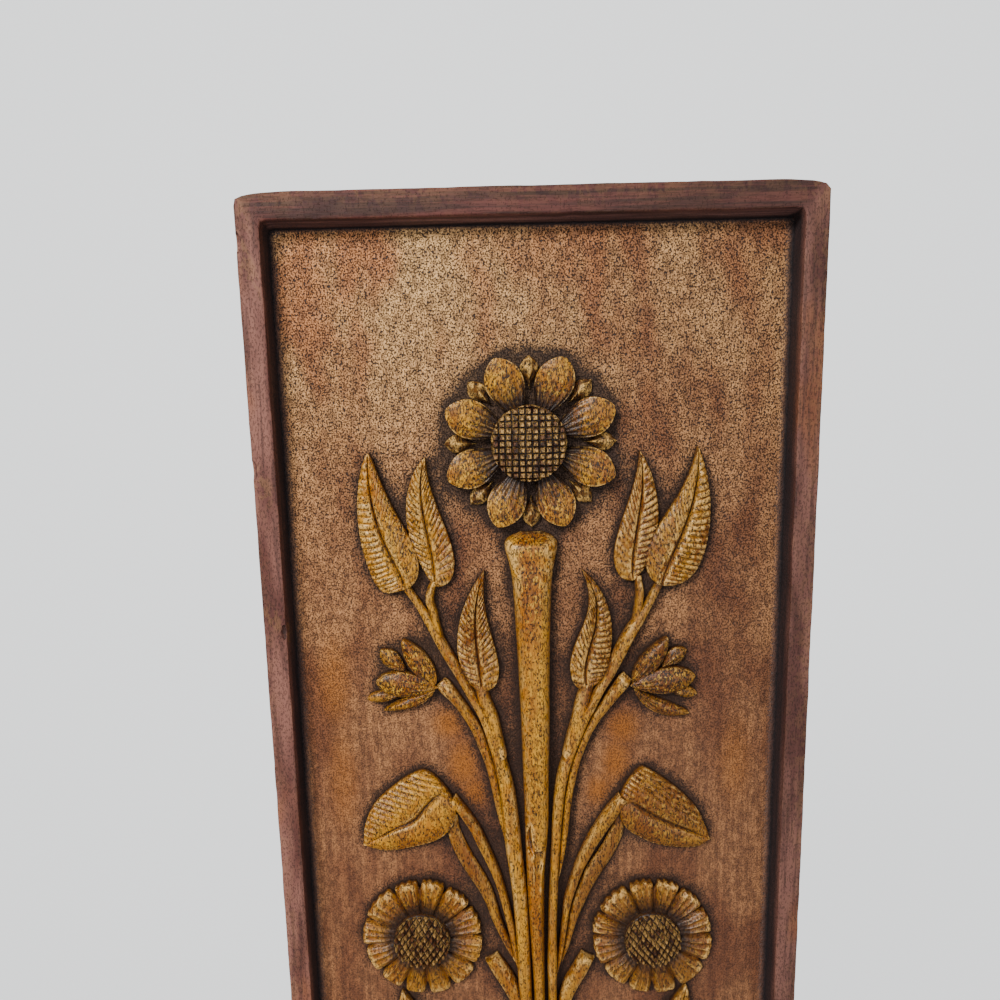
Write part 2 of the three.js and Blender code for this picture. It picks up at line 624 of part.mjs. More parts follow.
function sunflowerPetal(angle) {
  const { centre, petalFrom, petalTo, petalHalf, petalWidest, petalFullness } = SUNFLOWER;
  const { petalLift, grooveDepth } = SUNFLOWER;
  const plan = rayPlan({
    centre, angle, from: petalFrom, to: petalTo, half: petalHalf, widest: petalWidest, fullness: petalFullness,
  });
  const heightAt = (share, side) => {
    const rise = PETAL_BASE + (1 - PETAL_BASE) * swell(share, PETAL_CREST, 1);
    const round = 1 - PETAL_EDGE_FALL * side ** 2 * Math.sin(Math.PI * share);
    const groove = Math.abs(side) === PETAL_GROOVE_SIDE ? grooveDepth * (1 - share) : 0;
    return petalLift * rise * round - groove;
  };
  return blade(plan, PETAL_SHARES, PETAL_COLUMNS, heightAt);
}

const SEPAL_SHARES = [0, 0.35, 0.6, 1];

function sepal(angle) {
  const { centre, sepalFrom, sepalTo, sepalHalf, sepalWidest, sepalFullness, sepalLift, sepalEdge } = SUNFLOWER;
  const plan = rayPlan({
    centre, angle, from: sepalFrom, to: sepalTo, half: sepalHalf, widest: sepalWidest, fullness: sepalFullness,
  });
  const ridge = (share) => sepalEdge + (1 - sepalEdge) * Math.sin(Math.PI * share);
  const heightAt = (share, side) => sepalLift * (side === 0 ? ridge(share) : sepalEdge);
  return blade(plan, SEPAL_SHARES, [-TOP_SIDE, 0, TOP_SIDE], heightAt);
}

// A ring round a rectangle whose corners are quarters of an ellipse, squarer for a squareness above 2
function roundedRing(width, height, run, drop, squareness, z) {
  const ring = [];
  const bent = (value) => Math.sign(value) * Math.abs(value) ** (2 / squareness);
  const quarters = [[1, 1], [-1, 1], [-1, -1], [1, -1]];
  quarters.forEach(([right, up], quarter) => {
    for (let k = 0; k <= CORNER_FACETS; k += 1) {
      const turn = ((quarter + k / CORNER_FACETS) * fullTurn) / 4;
      const x = right * (width / 2 - run) + bent(Math.cos(turn)) * run;
      const y = up * (height / 2 - drop) + bent(Math.sin(turn)) * drop;
      ring.push([x, y, z]);
    }
  });
  return ring;
}

// The plank, from its back edge round over the border and down to the ground of the field
function plank() {
  const outer = (inset, z) => roundedRing(
    PANEL_WIDTH - 2 * inset, PANEL_HEIGHT - 2 * inset, CORNER_RUN, CORNER_DROP, CORNER_SQUARENESS, z,
  );
  const inner = (outsetAcross, outsetUp, z) => roundedRing(
    FIELD_WIDTH + 2 * outsetAcross, FIELD_HEIGHT + 2 * outsetUp, FIELD_CORNER, FIELD_CORNER, 2, z,
  );
  return loft([
    outer(BACK_EASE, -GROUND_THICKNESS),
    outer(0, BACK_EASE - GROUND_THICKNESS),
    outer(0, RECESS_DEPTH - FRONT_EASE),
    outer(FRONT_EASE, RECESS_DEPTH),
    inner(FRONT_EASE / 2, FRONT_EASE / 2, RECESS_DEPTH),
    inner(0, 0, RECESS_DEPTH - FRONT_EASE / 2),
    inner(-SIDE_DRAFT, -END_DRAFT, 0),
  ]);
}

function chip([across, down, radius]) {
  const bite = new THREE.IcosahedronGeometry(radius, 1);
  bite.scale(CHIP_WIDTH_SHARE, CHIP_LENGTH_SHARE, CHIP_WIDTH_SHARE);
  const side = Math.sign(across);
  const fromEdge = DRAWN_FIELD_WIDTH / 2 + SIDE_BORDER - Math.abs(across);
  bite.translate(side * (PANEL_WIDTH / 2 - fromEdge), (DRAWN_MIDDLE - down) * UPWARD, RECESS_DEPTH);
  return closedSolid(bite);
}

function squareSteps([across, down]) {
  return [[across, 0], [0, down]];
}

function diamondSteps([across, down]) {
  return [[across / 2, down / 2], [-across / 2, down / 2]];
}

function carve() {
  const rays = Array.from({ length: SUNFLOWER.petals }, (_, k) => (360 / SUNFLOWER.petals) * k);
  const raised = [
    ...rays.map((angle) => sepal(angle)),
    ...rays.map((angle) => sunflowerPetal(angle + SUNFLOWER.firstPetal)),
    seedDisc({
      centre: SUNFLOWER.discCentre, radius: SUNFLOWER.disc, lift: SUNFLOWER.discLift, dome: SUNFLOWER.discDome,
      steps: squareSteps(SUNFLOWER.seedPitch), cellHeight: SUNFLOWER.seedHeight, lean: 0,
    }),
    ...DAISIES.map(daisyPetals),
    ...DAISIES.map(({ disc, lean }) => seedDisc({
      centre: disc, radius: DAISY.disc, lift: DAISY.discLift, dome: DAISY.discDome,
      steps: diamondSteps(DAISY.diamond), cellHeight: DAISY.diamondHeight, lean,
    })),
    ...LEAVES.map((leaf) => veinedLeaf(ribPlan(leaf), leaf)),
    ...LOW_LEAVES.map((leaf) => veinedLeaf(ribPlan(leaf), leaf)),
    ...HEART_LEAVES.map((leaf) => veinedLeaf(edgePlan(leaf), leaf)),
    ...BUD_PETALS.map(budPetal),
    ...STEMS.map((rows) => stem(rows, STEM_SECTION, STEM_STEP)),
    mainStem().subtract(strandCutter(STRAND_CUT)).subtract(strandCutter(STRAND_POCKET)),
    stem(TIE, STEM_SECTION, TIE_STEP),
  ];
  const whole = raised.reduce((sum, part) => sum.add(part), plank());
  return CHIPS.reduce((rest, loss) => rest.subtract(chip(loss)), whole).simplify(SURFACE_TOLERANCE);
}

function panelGeometry() {
  const mesh = carve().getMesh();
  const geometry = new THREE.BufferGeometry();
  geometry.setAttribute('position', new THREE.BufferAttribute(Float32Array.from(mesh.vertProperties), 3));
  geometry.setIndex(new THREE.BufferAttribute(Uint32Array.from(mesh.triVerts), 1));
  // The back comes to the origin, and the panel stands up with its front toward -Y
  geometry.translate(0, 0, GROUND_THICKNESS);
  geometry.rotateX(Math.PI / 2);
  geometry.computeVertexNormals();
  return geometry;
}

const wood = new THREE.MeshStandardMaterial({ color: 0x9a6a3c, roughness: 0.62, metalness: 0 });
wood.flatShading = true;

const panel = new THREE.Mesh(panelGeometry(), wood);
panel.name = 'carved_panel';

const plaque = new THREE.Group();
plaque.name = 'wall_plaque';
plaque.add(panel);

export default plaque;
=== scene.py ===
"""The carved wooden wall plaque: one plank with a raised border, a punched field and a bunch of flowers."""
import math

import bpy
import numpy as np
from mathutils import Matrix, Vector
from mathutils.bvhtree import BVHTree


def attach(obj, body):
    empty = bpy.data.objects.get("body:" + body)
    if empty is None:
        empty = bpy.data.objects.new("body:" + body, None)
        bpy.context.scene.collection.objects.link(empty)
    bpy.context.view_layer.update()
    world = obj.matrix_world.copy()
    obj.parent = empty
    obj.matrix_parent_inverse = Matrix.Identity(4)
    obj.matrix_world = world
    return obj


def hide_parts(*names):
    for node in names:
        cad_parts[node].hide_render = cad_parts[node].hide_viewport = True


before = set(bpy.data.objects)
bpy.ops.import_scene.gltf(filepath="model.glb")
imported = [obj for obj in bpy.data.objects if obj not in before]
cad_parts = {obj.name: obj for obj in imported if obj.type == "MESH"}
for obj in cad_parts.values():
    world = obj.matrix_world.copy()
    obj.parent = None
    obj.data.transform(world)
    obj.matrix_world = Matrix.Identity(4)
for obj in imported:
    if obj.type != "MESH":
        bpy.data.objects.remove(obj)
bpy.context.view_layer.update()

MM = 0.001

# The plank, in millimetres
PANEL_WIDTH = 305.0
PANEL_HEIGHT = 762.0
PANEL_THICKNESS = 32.0
SIDE_BORDER = 12.5
END_BORDER = 14.0
RECESS_DEPTH = 14.0
SIDE_DRAFT = 0.5
END_DRAFT = 2.0
GROUND_THICKNESS = PANEL_THICKNESS - RECESS_DEPTH
FIELD_WIDTH = PANEL_WIDTH - 2 * SIDE_BORDER
FIELD_HEIGHT = PANEL_HEIGHT - 2 * END_BORDER
MIDDLE = PANEL_HEIGHT / 2

# How deep every carved element's root reaches under the ground
ROOT = -1.4

# Narrow leaves. A side is (half width, share of the length where it is widest, fullness);
# sweep is how far its veins run on toward the tip, and cut is how deep they are.
LEAVES = [
    dict(rib=[(-73, 213), (-78, 197), (-94, 178), (-91, 136)], left=(15.2, 0.22, 0.6),
         right=(14.4, 0.38, 0.7), sweep=(0.03, 0.2), cut=(1.0, 0.28), veins=24, lift=8),
    dict(rib=[(-57.5, 212), (-54.5, 193), (-68.5, 165), (-60, 139)], left=(10.3, 0.5, 0.8),
         right=(12.3, 0.26, 0.8), sweep=(0.12, 0.16), cut=(0.9, 0.75), veins=21, lift=6.5),
    dict(rib=[(-32, 275), (-33, 252), (-39, 232), (-29, 203.5)], left=(11.3, 0.36, 0.85),
         right=(11.4, 0.22, 0.85), sweep=(0.12, 0.14), cut=(0.85, 0.85), veins=21, lift=7),
    dict(rib=[(70.5, 213.5), (74.5, 195), (92, 174), (89.5, 135.5)], left=(15, 0.33, 0.95),
         right=(16.5, 0.32, 0.85), sweep=(0.2, 0.05), cut=(0.25, 1.05), veins=24, lift=8),
    dict(rib=[(55, 210.5), (52, 192), (63.5, 164), (58, 137.5)], left=(10.8, 0.26, 0.9),
         right=(11.8, 0.42, 0.9), sweep=(0.18, 0.08), cut=(0.4, 0.95), veins=21, lift=6.5),
    dict(rib=[(29, 274.5), (22, 252), (46.5, 233), (26, 203.5)], left=(9, 0.25, 0.8), right=(13, 0.27, 0.9),
         sweep=(0.17, 0.05), cut=(0.8, 1.0), veins=21, lift=7),
    dict(rib=[(-31, 563), (-48, 549), (-78, 527), (-86, 470)], left=(16, 0.45, 0.7), right=(17, 0.5, 0.7),
         sweep=(0.05, 0.16), cut=(0.8, 0.5), veins=20, lift=7.5),
    dict(rib=[(31, 563), (48, 549), (80, 527), (89, 468)], left=(17, 0.5, 0.7), right=(16, 0.45, 0.7),
         sweep=(0.16, 0.05), cut=(0.5, 0.8), veins=20, lift=7.5),
]

# Heart-shaped leaves, drawn by two edges and a rib from the stalk to the tip.
# ridged is the side with long veins.
HEART_LEAVES = [
    dict(left=[(-48, 346), (-51.5, 359), (-60, 367.5), (-75, 372), (-92, 374), (-105, 370)],
         rib=[(-48, 346), (-58, 338.5), (-66, 345), (-74, 354.5), (-86, 360), (-105, 370)],
         right=[(-48, 346), (-56, 333), (-66, 324), (-76, 326.5), (-88, 335), (-98, 345), (-103.5, 357),
                (-105, 370)], ridged=1, slope=0.26, lift=8),
    dict(
         left=[(46, 347), (51, 334.5), (57, 326.5), (63, 324), (79, 335), (88, 343.5), (95, 352.5),
               (101.5, 369)], rib=[(46, 347), (55, 345), (62, 350), (74, 357), (88, 363), (101.5, 369)],
         right=[(46, 347), (51, 361), (60, 368), (70, 372.5), (82, 374.5), (94, 374), (101.5, 369)],
         ridged=-1, slope=0.55, lift=8),
]

# Petals of the two side buds; grooves is how many lines run along them
BUD_PETALS = [
    dict(rib=[(-75, 262), (-80, 258), (-85, 254), (-89.5, 249)], left=(5, 0.6, 0.7), right=(5, 0.6, 0.7),
         grooves=2, lift=6),
    dict(rib=[(-74, 274), (-82, 276), (-90, 277.5), (-98.5, 278.5)], left=(3.5, 0.65, 0.6),
         right=(3.5, 0.65, 0.6), grooves=1, lift=5.5),
    dict(rib=[(-59, 271), (-62, 262), (-71, 252), (-76.5, 243)], left=(6.5, 0.5, 0.7),
         right=(5.8, 0.5, 0.7), grooves=3, lift=8),
    dict(rib=[(-57, 271.5), (-68, 271), (-80, 268.5), (-92.5, 267.5)], left=(8.2, 0.62, 0.6),
         right=(7.2, 0.62, 0.6), grooves=4, lift=8.5),
    dict(rib=[(-59, 273.5), (-66, 278), (-78, 281), (-89, 285.3)], left=(4.5, 0.5, 0.8),
         right=(2.6, 0.5, 0.8), grooves=2, lift=7),
    dict(rib=[(72, 262), (76, 258), (80, 254.5), (85.5, 251.5)], left=(4.5, 0.6, 0.7),
         right=(4.5, 0.6, 0.7), grooves=2, lift=6),
    dict(rib=[(72, 274), (80, 276.5), (86, 277.5), (92, 278.5)], left=(3.5, 0.65, 0.6),
         right=(3.5, 0.65, 0.6), grooves=1, lift=5.5),
    dict(rib=[(55, 271), (58, 263), (67, 253), (74.5, 244)], left=(4, 0.5, 0.7), right=(7.5, 0.55, 0.7),
         grooves=3, lift=8),
    dict(rib=[(53.5, 272.5), (65, 272), (78, 270), (90.5, 267)], left=(8, 0.6, 0.6), right=(7.5, 0.6, 0.6),
         grooves=4, lift=8.5),
    dict(rib=[(56, 275), (64, 284), (75, 289), (88, 290)], left=(4, 0.55, 0.7), right=(4.5, 0.5, 0.7),
         grooves=2, lift=6),
]

# Stems, in rows of (right of the middle, down, width, lift)
STEMS = [
    [(-74.5, 211, 5, 5), (-67, 222, 4.5, 6), (-60.7, 233, 5.8, 7), (-52.7, 249, 6.5, 7.5),
     (-44.7, 264, 6, 7.5), (-38.2, 277, 5.5, 7.5), (-31.5, 290, 6, 8), (-26.5, 303, 7.5, 8.5),
     (-22.5, 318, 8.5, 9), (-19, 335, 9.5, 9.5), (-17, 355, 10.5, 10), (-15.2, 375, 10, 10),
     (-13, 395, 9.5, 10), (-11.6, 415, 9, 10), (-10.7, 440, 8.8, 10.5), (-10, 467, 8.5, 10.5),
     (-8.4, 510, 8, 10), (-6.8, 560, 7, 9.5), (-6.4, 600, 6.4, 9), (-8.4, 640, 8, 8.5),
     (-11.4, 673, 9.6, 6.5)],
    [(-57.5, 209, 4.5, 5), (-60.3, 219, 5, 6), (-58.5, 227, 5, 6.5), (-56.5, 236, 4.2, 6.2),
     (-54, 243, 2.8, 5.5), (-52.5, 249, 1, 4.5)],
    [(-55.6, 269, 6.5, 5), (-53.2, 272, 8.6, 7.2), (-48, 278.5, 7, 7), (-41.5, 288, 6.5, 6.5),
     (-36, 298, 6.5, 6.5), (-31.8, 309, 6.5, 7), (-28.3, 320, 6, 7), (-25.6, 333, 5.5, 7.5),
     (-23.5, 346, 5, 7.5), (-21.2, 360, 3.4, 6.5), (-18.5, 374, 1, 5)],
    [(-33, 272, 8, 5), (-30.5, 281, 8, 7), (-26.5, 291, 7.5, 8), (-23.8, 302, 6.5, 8.5), (-21, 315, 6, 9)],
    [(-51, 341, 5, 8), (-44, 351.5, 6, 7.5), (-38.5, 361, 6.5, 7), (-34.5, 370.5, 6.5, 7),
     (-30.5, 380, 6, 7), (-26.6, 390, 5.5, 7), (-23.7, 400, 5, 7), (-21.3, 410, 5, 7),
     (-19.2, 420, 4.7, 7.5), (-17.3, 430, 4.5, 8), (-15, 446, 3.4, 7.5), (-12.5, 460, 1, 5.5)],
    [(-49.5, 353, 3, 2), (-51, 361, 7, 2.6), (-49.5, 369, 9, 3), (-45.3, 379, 9.5, 3.4),
     (-39.5, 390, 9.5, 4), (-34, 400, 8.5, 4.5), (-30, 410, 7, 5), (-27.2, 420, 6, 5.5), (-23.5, 430, 5, 6),
     (-19.4, 440, 4.2, 6), (-15.8, 450, 1, 4.5)],
    [(-30.4, 447.5, 9, 6.5), (-25.1, 456.5, 10.5, 7), (-18.6, 468.5, 10, 7.5), (-13.6, 482, 8, 7.5),
     (-11, 498, 6, 7)],
    [(70.5, 211, 5, 5), (65, 222, 5, 6), (58.6, 233, 6.7, 7), (52.6, 243, 7.7, 7.5), (47.1, 254, 7.7, 7.5),
     (42, 265, 6.3, 7.5), (36.8, 274, 5.6, 7.5), (31.5, 284, 6, 8), (26.5, 294, 6.5, 8),
     (21.8, 305, 7, 8.5), (17, 318, 7, 9), (13.5, 332, 7, 9.5), (11.3, 350, 6.5, 10), (10, 370, 6, 10),
     (8.8, 390, 5.5, 10), (7.8, 410, 5.5, 10), (7.2, 430, 5.5, 10.5), (7, 452, 6.6, 10.5),
     (6.8, 467, 5.5, 10.5), (7, 510, 6, 10), (6.6, 560, 6.4, 9.5), (6.2, 600, 6, 9), (8.4, 640, 7.6, 8.5),
     (11.8, 675, 9, 6.5)],
    [(57.5, 208, 4.5, 5), (58.8, 219, 5, 6), (57.4, 229, 4.6, 6.2), (55, 237, 3, 5.6), (52, 244, 1, 4.5)],
    [(52.6, 267.5, 6.5, 4.8), (50, 270.5, 8.6, 6.8), (45, 277, 7.5, 7), (38.5, 286, 6.5, 6.5),
     (33.5, 293, 6, 6.5), (29, 301, 5.5, 7), (25.3, 310, 5.5, 7), (21.8, 320, 5.5, 7.5), (19, 332, 5.5, 8),
     (16.8, 346, 5, 8), (15.2, 362, 4.5, 8.5), (13.3, 378, 3.6, 8), (11, 394, 1, 6)],
    [(29, 272, 8, 5), (26, 283, 8.5, 7), (23.5, 293, 8, 8), (20, 304, 7, 8.5), (17, 315, 6, 9)],
    [(50, 342, 6, 8), (44.5, 350, 8.5, 7.5), (38, 360, 8.5, 7), (32, 370, 8, 7), (27, 380, 7, 7),
     (22.8, 390, 6, 7), (19.6, 400, 5.5, 7), (16.8, 410, 5, 7), (15.2, 420, 4, 7.5), (13.9, 430, 3.7, 8),
     (11.6, 446, 3, 7.8), (9, 460, 1, 5.5)],
    [(46.5, 353, 3, 2), (47.5, 361, 7, 2.6), (45, 369, 9, 3), (40, 379, 9.5, 3.4), (33, 390, 10, 4),
     (28, 400, 8.5, 4.5), (24, 410, 7.5, 5), (20.5, 420, 6, 5.5), (18, 430, 4.5, 6), (15.5, 440, 3.4, 6),
     (13, 450, 1, 4.5)],
    [(29, 447, 9, 6.5), (24, 456.5, 10, 7), (18, 467.5, 9.5, 7.5), (13, 482, 7.5, 7.5), (9.5, 498, 6, 7)],
    [(-34, 560, 6.5, 5.5), (-24, 573, 7, 7), (-14, 588, 7, 8), (-12, 600, 6, 8), (-15, 628, 7, 7),
     (-20, 664, 8.4, 5.5)],
    [(34, 560, 6.5, 5.5), (24, 573, 7, 7), (14, 588, 7, 8), (12, 600, 6, 8), (15, 628, 7, 7),
     (20, 664, 8.4, 5.5)],
]
MAIN_STEM = [
    (-2.3, 181.6, 13, 4), (-2.3, 184.5, 25, 7), (-2.3, 189, 30, 12), (-2.1, 200, 25.5, 12),
    (-2, 214, 22, 12.5), (-1.7, 260, 18.3, 12.5), (-1.3, 295, 16.8, 12.5), (-1.4, 330, 15.2, 12.5),
    (-1.5, 360, 14, 12.5), (-2.5, 390, 11, 12), (-2.1, 430, 8.8, 12), (-1.3, 467, 6.8, 12),
    (-0.8, 510, 7, 11.5), (0, 560, 7, 11), (0, 600, 6.5, 10), (0, 678, 9.6, 7.5),
]
TIE = [(-18.5, 598, 14, 4.5), (-13, 598, 15, 9.5), (0, 598, 15.5, 12.2), (13, 598, 15, 9.5),
       (18.5, 598, 14, 4.5)]
STRAND_CUT = [(0.5, 371, 9, 2.6), (0.2, 384, 8.6, 1.9), (-0.5, 402, 7.6, 0.9), (-1, 424, 6, 0.1)]
STRAND_POCKET = [(-5.2, 354, 0.6, 0.3), (-6.2, 361, 3.2, 3.6), (-5.6, 369, 4.2, 3.6), (-3.4, 374.5, 1, 0.4)]
STEM_TOP = 12.5

SUNFLOWER = dict(
    centre=(-1.8, 132), disc_centre=(-2.7, 131.8), disc=20.8, disc_lift=12.4, dome=2.6, pitch=(3.6, 3.45),
    petals=8, first=22.5, start=12, tip=49.5, half=10.8, widest=0.63, fullness=0.65, petal_lift=9,
    sepal_start=29, sepal_tip=47.5, sepal_half=5, sepal_lift=5.6,
)

# The two daisies. cuts are the angles between petals, clockwise from straight up.
DAISIES = [
    dict(centre=(-71.6, 433), disc=(-72, 432.5), lean=4,
         cuts=[-29, -2, 24.5, 54.5, 88, 121.5, 152, 177.5, 202, 230, 262, 292]),
    dict(centre=(68, 434.5), disc=(67.5, 433.5), lean=-8,
         cuts=[-25, 2, 28, 56.5, 87, 119, 154, 179.5, 205, 237, 273, 298]),
]
DAISY = dict(rim=37.2, lift=7, flutes=4, notch=2.3, disc=17.2, disc_lift=10.6, dome=2, diamond=(3.85, 6.4))


# Drawing helpers

def place(across, down):
    """Carving coordinates of a drawn place: x to the right and y up, from the middle of the panel."""
    return np.stack([np.asarray(across, float), MIDDLE - np.asarray(down, float)], -1)


def through(rows, shares):
    """Smooth values through rows of numbers, at shares from the first row to the last."""
    rows = np.asarray(rows, float)
    padded = np.vstack([2 * rows[0] - rows[1], rows, 2 * rows[-1] - rows[-2]])
    spans = len(rows) - 1
    first = np.minimum((np.asarray(shares) * spans).astype(int), spans - 1)
    f = (np.asarray(shares) * spans - first)[..., None]
    a, b, c, d = (padded[first + k] for k in range(4))
    return 0.5 * (2 * b + (c - a) * f + (2 * a - 5 * b + 4 * c - d) * f ** 2
                  + (3 * b - a - 3 * c + d) * f ** 3)


def swell(share, widest, fullness):
    """How wide a blade is at a share of its length, from 0 at both ends to 1 where it is widest."""
    bend = math.log(0.5) / math.log(widest)
    return np.maximum(np.sin(np.pi * np.clip(share, 0, 1) ** bend), 0) ** fullness


def step(low, high, value):
    t = np.clip((value - low) / (high - low), 0, 1)
    return t * t * (3 - 2 * t)


def rib_plan(spec):
    """Plan of a blade from its rib and two sides: the place at a share along and a side from -1 to 1."""
    p = [place(*point) for point in spec["rib"]]

    def plan(share, side):
        t = np.clip(share, 0, 1)[..., None]
        middle = ((1 - t) ** 3 * p[0] + 3 * (1 - t) ** 2 * t * p[1]
                  + 3 * (1 - t) * t ** 2 * p[2] + t ** 3 * p[3])
        ahead = (3 * (1 - t) ** 2 * (p[1] - p[0]) + 6 * (1 - t) * t * (p[2] - p[1])
                 + 3 * t ** 2 * (p[3] - p[2]))
        ahead /= np.linalg.norm(ahead, axis=-1, keepdims=True)
        reach = np.where(side < 0, spec["left"][0] * swell(share, *spec["left"][1:]),
                         spec["right"][0] * swell(share, *spec["right"][1:])) * side
        return middle + np.stack([ahead[..., 1], -ahead[..., 0]], -1) * reach[..., None]

    return plan


def edge_plan(spec):
    """Plan of a blade from its rib and its two edges."""
    def plan(share, side):
        t = np.clip(share, 0, 1)
        middle = through(spec["rib"], t)
        edge = np.where((side < 0)[..., None], through(spec["left"], t), through(spec["right"], t))
        spot = middle + (edge - middle) * np.abs(side)[..., None]
        return place(spot[..., 0], spot[..., 1])

    return plan


def ray_plan(centre, angle, start, tip, half, widest, fullness):
    """Plan of a petal that points straight out of a flower's middle."""
    middle = place(*centre)
    ahead = np.array([math.sin(math.radians(angle)), math.cos(math.radians(angle))])
    aside = np.array([ahead[1], -ahead[0]])

    def plan(share, side):
        out = start + (tip - start) * share
        reach = side * half * swell(share, widest, fullness)
        return middle + ahead * out[..., None] + aside * reach[..., None]

    return plan


# Solids, in carving millimetres

def solid(corners, faces):
    """A closed mesh from corners and faces, with its doubles joined and its faces turned outward."""
    corners = np.asarray(corners, float).reshape(-1, 3)
    faces = np.asarray(faces, int)
    keys, back = np.unique(np.round(corners, 4), axis=0, return_inverse=True)
    faces = back.reshape(-1)[faces]
    if faces.shape[1] == 4:
        faces = np.vstack([faces[:, [0, 1, 2]], faces[:, [0, 2, 3]]])
    a, b, c = faces.T
    faces = faces[(a != b) & (b != c) & (c != a)]
    p = keys[faces]
    volume = np.einsum("ij,ij->i", p[:, 0], np.cross(p[:, 1], p[:, 2])).sum()
    if volume < 0:
        faces = faces[:, ::-1]
    return keys, faces


def grid_faces(rows, columns, start=0, wrap=False):
    """Quads over a grid of corners; wrap joins the last column to the first."""
    i, j = np.meshgrid(np.arange(rows - 1), np.arange(columns if wrap else columns - 1), indexing="ij")
    k = (j + 1) % columns
    quads = [i * columns + j, i * columns + k, (i + 1) * columns + k, (i + 1) * columns + j]
    return start + np.stack(quads, -1).reshape(-1, 4)


def tube(rings):
    """A solid skinned over rings of corners with the same count, closed by a fan at each end."""
    rings = np.asarray(rings, float)
    rows, around = rings.shape[:2]
    quads = grid_faces(rows, around, wrap=True)
    triangles = np.vstack([quads[:, [0, 1, 2]], quads[:, [0, 2, 3]]])
    ends = np.stack([rings[0].mean(0), rings[-1].mean(0)])
    total = rows * around
    k = np.arange(around)
    first = np.stack([np.full(around, total), (k + 1) % around, k], 1)
    last = np.stack([np.full(around, total + 1), total - around + k, total - around + (k + 1) % around], 1)
    return solid(np.vstack([rings.reshape(-1, 3), ends]), np.vstack([triangles, first, last]))


def blade(plan, shares, sides, height, sweep=(0, 0)):
    """A blade-shaped solid: every row is a ring over the top and down both walls to the root."""
    share, side = np.meshgrid(shares, sides, indexing="ij")
    bend = np.abs(side) * np.where(side < 0, sweep[0], sweep[1]) * 4 * share * (1 - share)
    along = np.clip(share + bend, 0, 1)
    spot = plan(along, side * EDGE_STAND)
    top = np.concatenate([spot, height(share, side, along)[..., None]], -1)
    rings = [top]
    for turn in (-1, 0):
        wall_side = np.full(len(shares), float(sides[turn]))
        wall_along = along[:, turn]
        edge = top[:, turn, 2]
        wall = []
        for stand, sink in WALL_STEPS:
            foot = plan(wall_along, wall_side * stand)
            level = ROOT if sink is None else edge * (1 - sink)
            wall.append(np.concatenate([foot, np.broadcast_to(level, edge.shape)[:, None]], -1))
        if turn == 0:
            wall = wall[::-1]
        rings.append(np.stack(wall, 1))
    return tube(np.concatenate(rings, 1))


EDGE_STAND = 0.965
WALL_STEPS = [(0.985, 0.12), (0.99, 0.55), (1.0, None)]


def vein_rows(veins, phases):
    shares = (np.arange(veins)[:, None] + np.array(phases)[None, :]).reshape(-1) / veins
    return np.append(shares, 1.0)


def side_columns(count):
    """Sides from -1 to 1, closer together at the rib and at both edges."""
    half = np.linspace(0, 1, count + 1)[1:]
    near_edge = 1 - (1 - half) ** 1.25
    near_rib = np.array([0.045])
    positive = np.concatenate([near_rib, near_edge])
    positive = np.unique(np.round(positive, 4))
    return np.concatenate([-positive[::-1], [0], positive])


def veined_leaf(spec):
    plan = rib_plan(spec)
    shares = vein_rows(spec["veins"], (0, 0.14, 0.5, 0.86))
    sides = side_columns(9)

    def height(share, side, along):
        body = np.sin(np.pi * share) ** 0.4
        reach = np.abs(side)
        crown = 0.8 + 0.2 * np.sin(np.pi * np.clip(reach, 0, 1)) ** 0.8 - 0.14 * reach ** 3
        rib = np.exp(-(reach / 0.07) ** 2)
        cross = crown - 0.26 * rib
        phase = share * spec["veins"]
        groove = 1 - np.abs(np.sin(np.pi * phase)) ** 0.75
        depth = 1.25 * np.where(side < 0, spec["cut"][0], spec["cut"][1]) * step(0.04, 0.36, reach)
        return spec["lift"] * (0.66 + (cross - 0.66) * body) - depth * groove * body

    return blade(plan, shares, sides, height, spec["sweep"])


def heart_leaf(spec):
    plan = edge_plan(spec)
    shares = np.linspace(0, 1, 98)
    sides = side_columns(20)

    def height(share, side, along):
        body = np.sin(np.pi * share) ** 0.4
        reach = np.abs(side)
        crown = 0.84 + 0.16 * np.sin(np.pi * np.clip(reach, 0, 1)) - 0.16 * reach ** 3
        rib = np.exp(-(reach / 0.075) ** 2) * step(0.1, 0.34, share) * step(0.97, 0.84, share)
        spot = plan(along, side)
        ridged = np.sign(side) == spec["ridged"]
        across_phase = (spot[..., 1] + spec["slope"] * spot[..., 0]) / 3.5
        edge_phase = (spot[..., 0] + 0.25 * spot[..., 1]) / 3.4
        phase = np.where(ridged, across_phase, edge_phase)
        groove = 1 - np.abs(np.sin(np.pi * phase)) ** 0.75
        reaching = np.where(ridged, 1.3 * step(0.28, 0.55, reach), 0.6 * step(0.68, 1, reach))
        return spec["lift"] * (0.66 + (crown - 0.2 * rib - 0.66) * body) - reaching * groove * body

    return blade(plan, shares, sides, height)


def bud_petal(spec):
    def height(share, side, along):
        body = np.sin(np.pi * share) ** 0.5
        crown = 1 - 0.36 * side ** 2
        lines = 1 - np.abs(np.cos(np.pi * (side * 0.5 + 0.5) * (spec["grooves"] + 1))) ** 0.8
        groove = 0.9 * (1 - lines) * step(0.75, 0.3, share) * (np.abs(side) < 0.95)
        return spec["lift"] * (0.66 + (crown - 0.66) * body) - groove * body

    return blade(rib_plan(spec), 0.5 - 0.5 * np.cos(np.pi * np.linspace(0, 1, 26)), np.linspace(-1, 1, 17),
                 height)


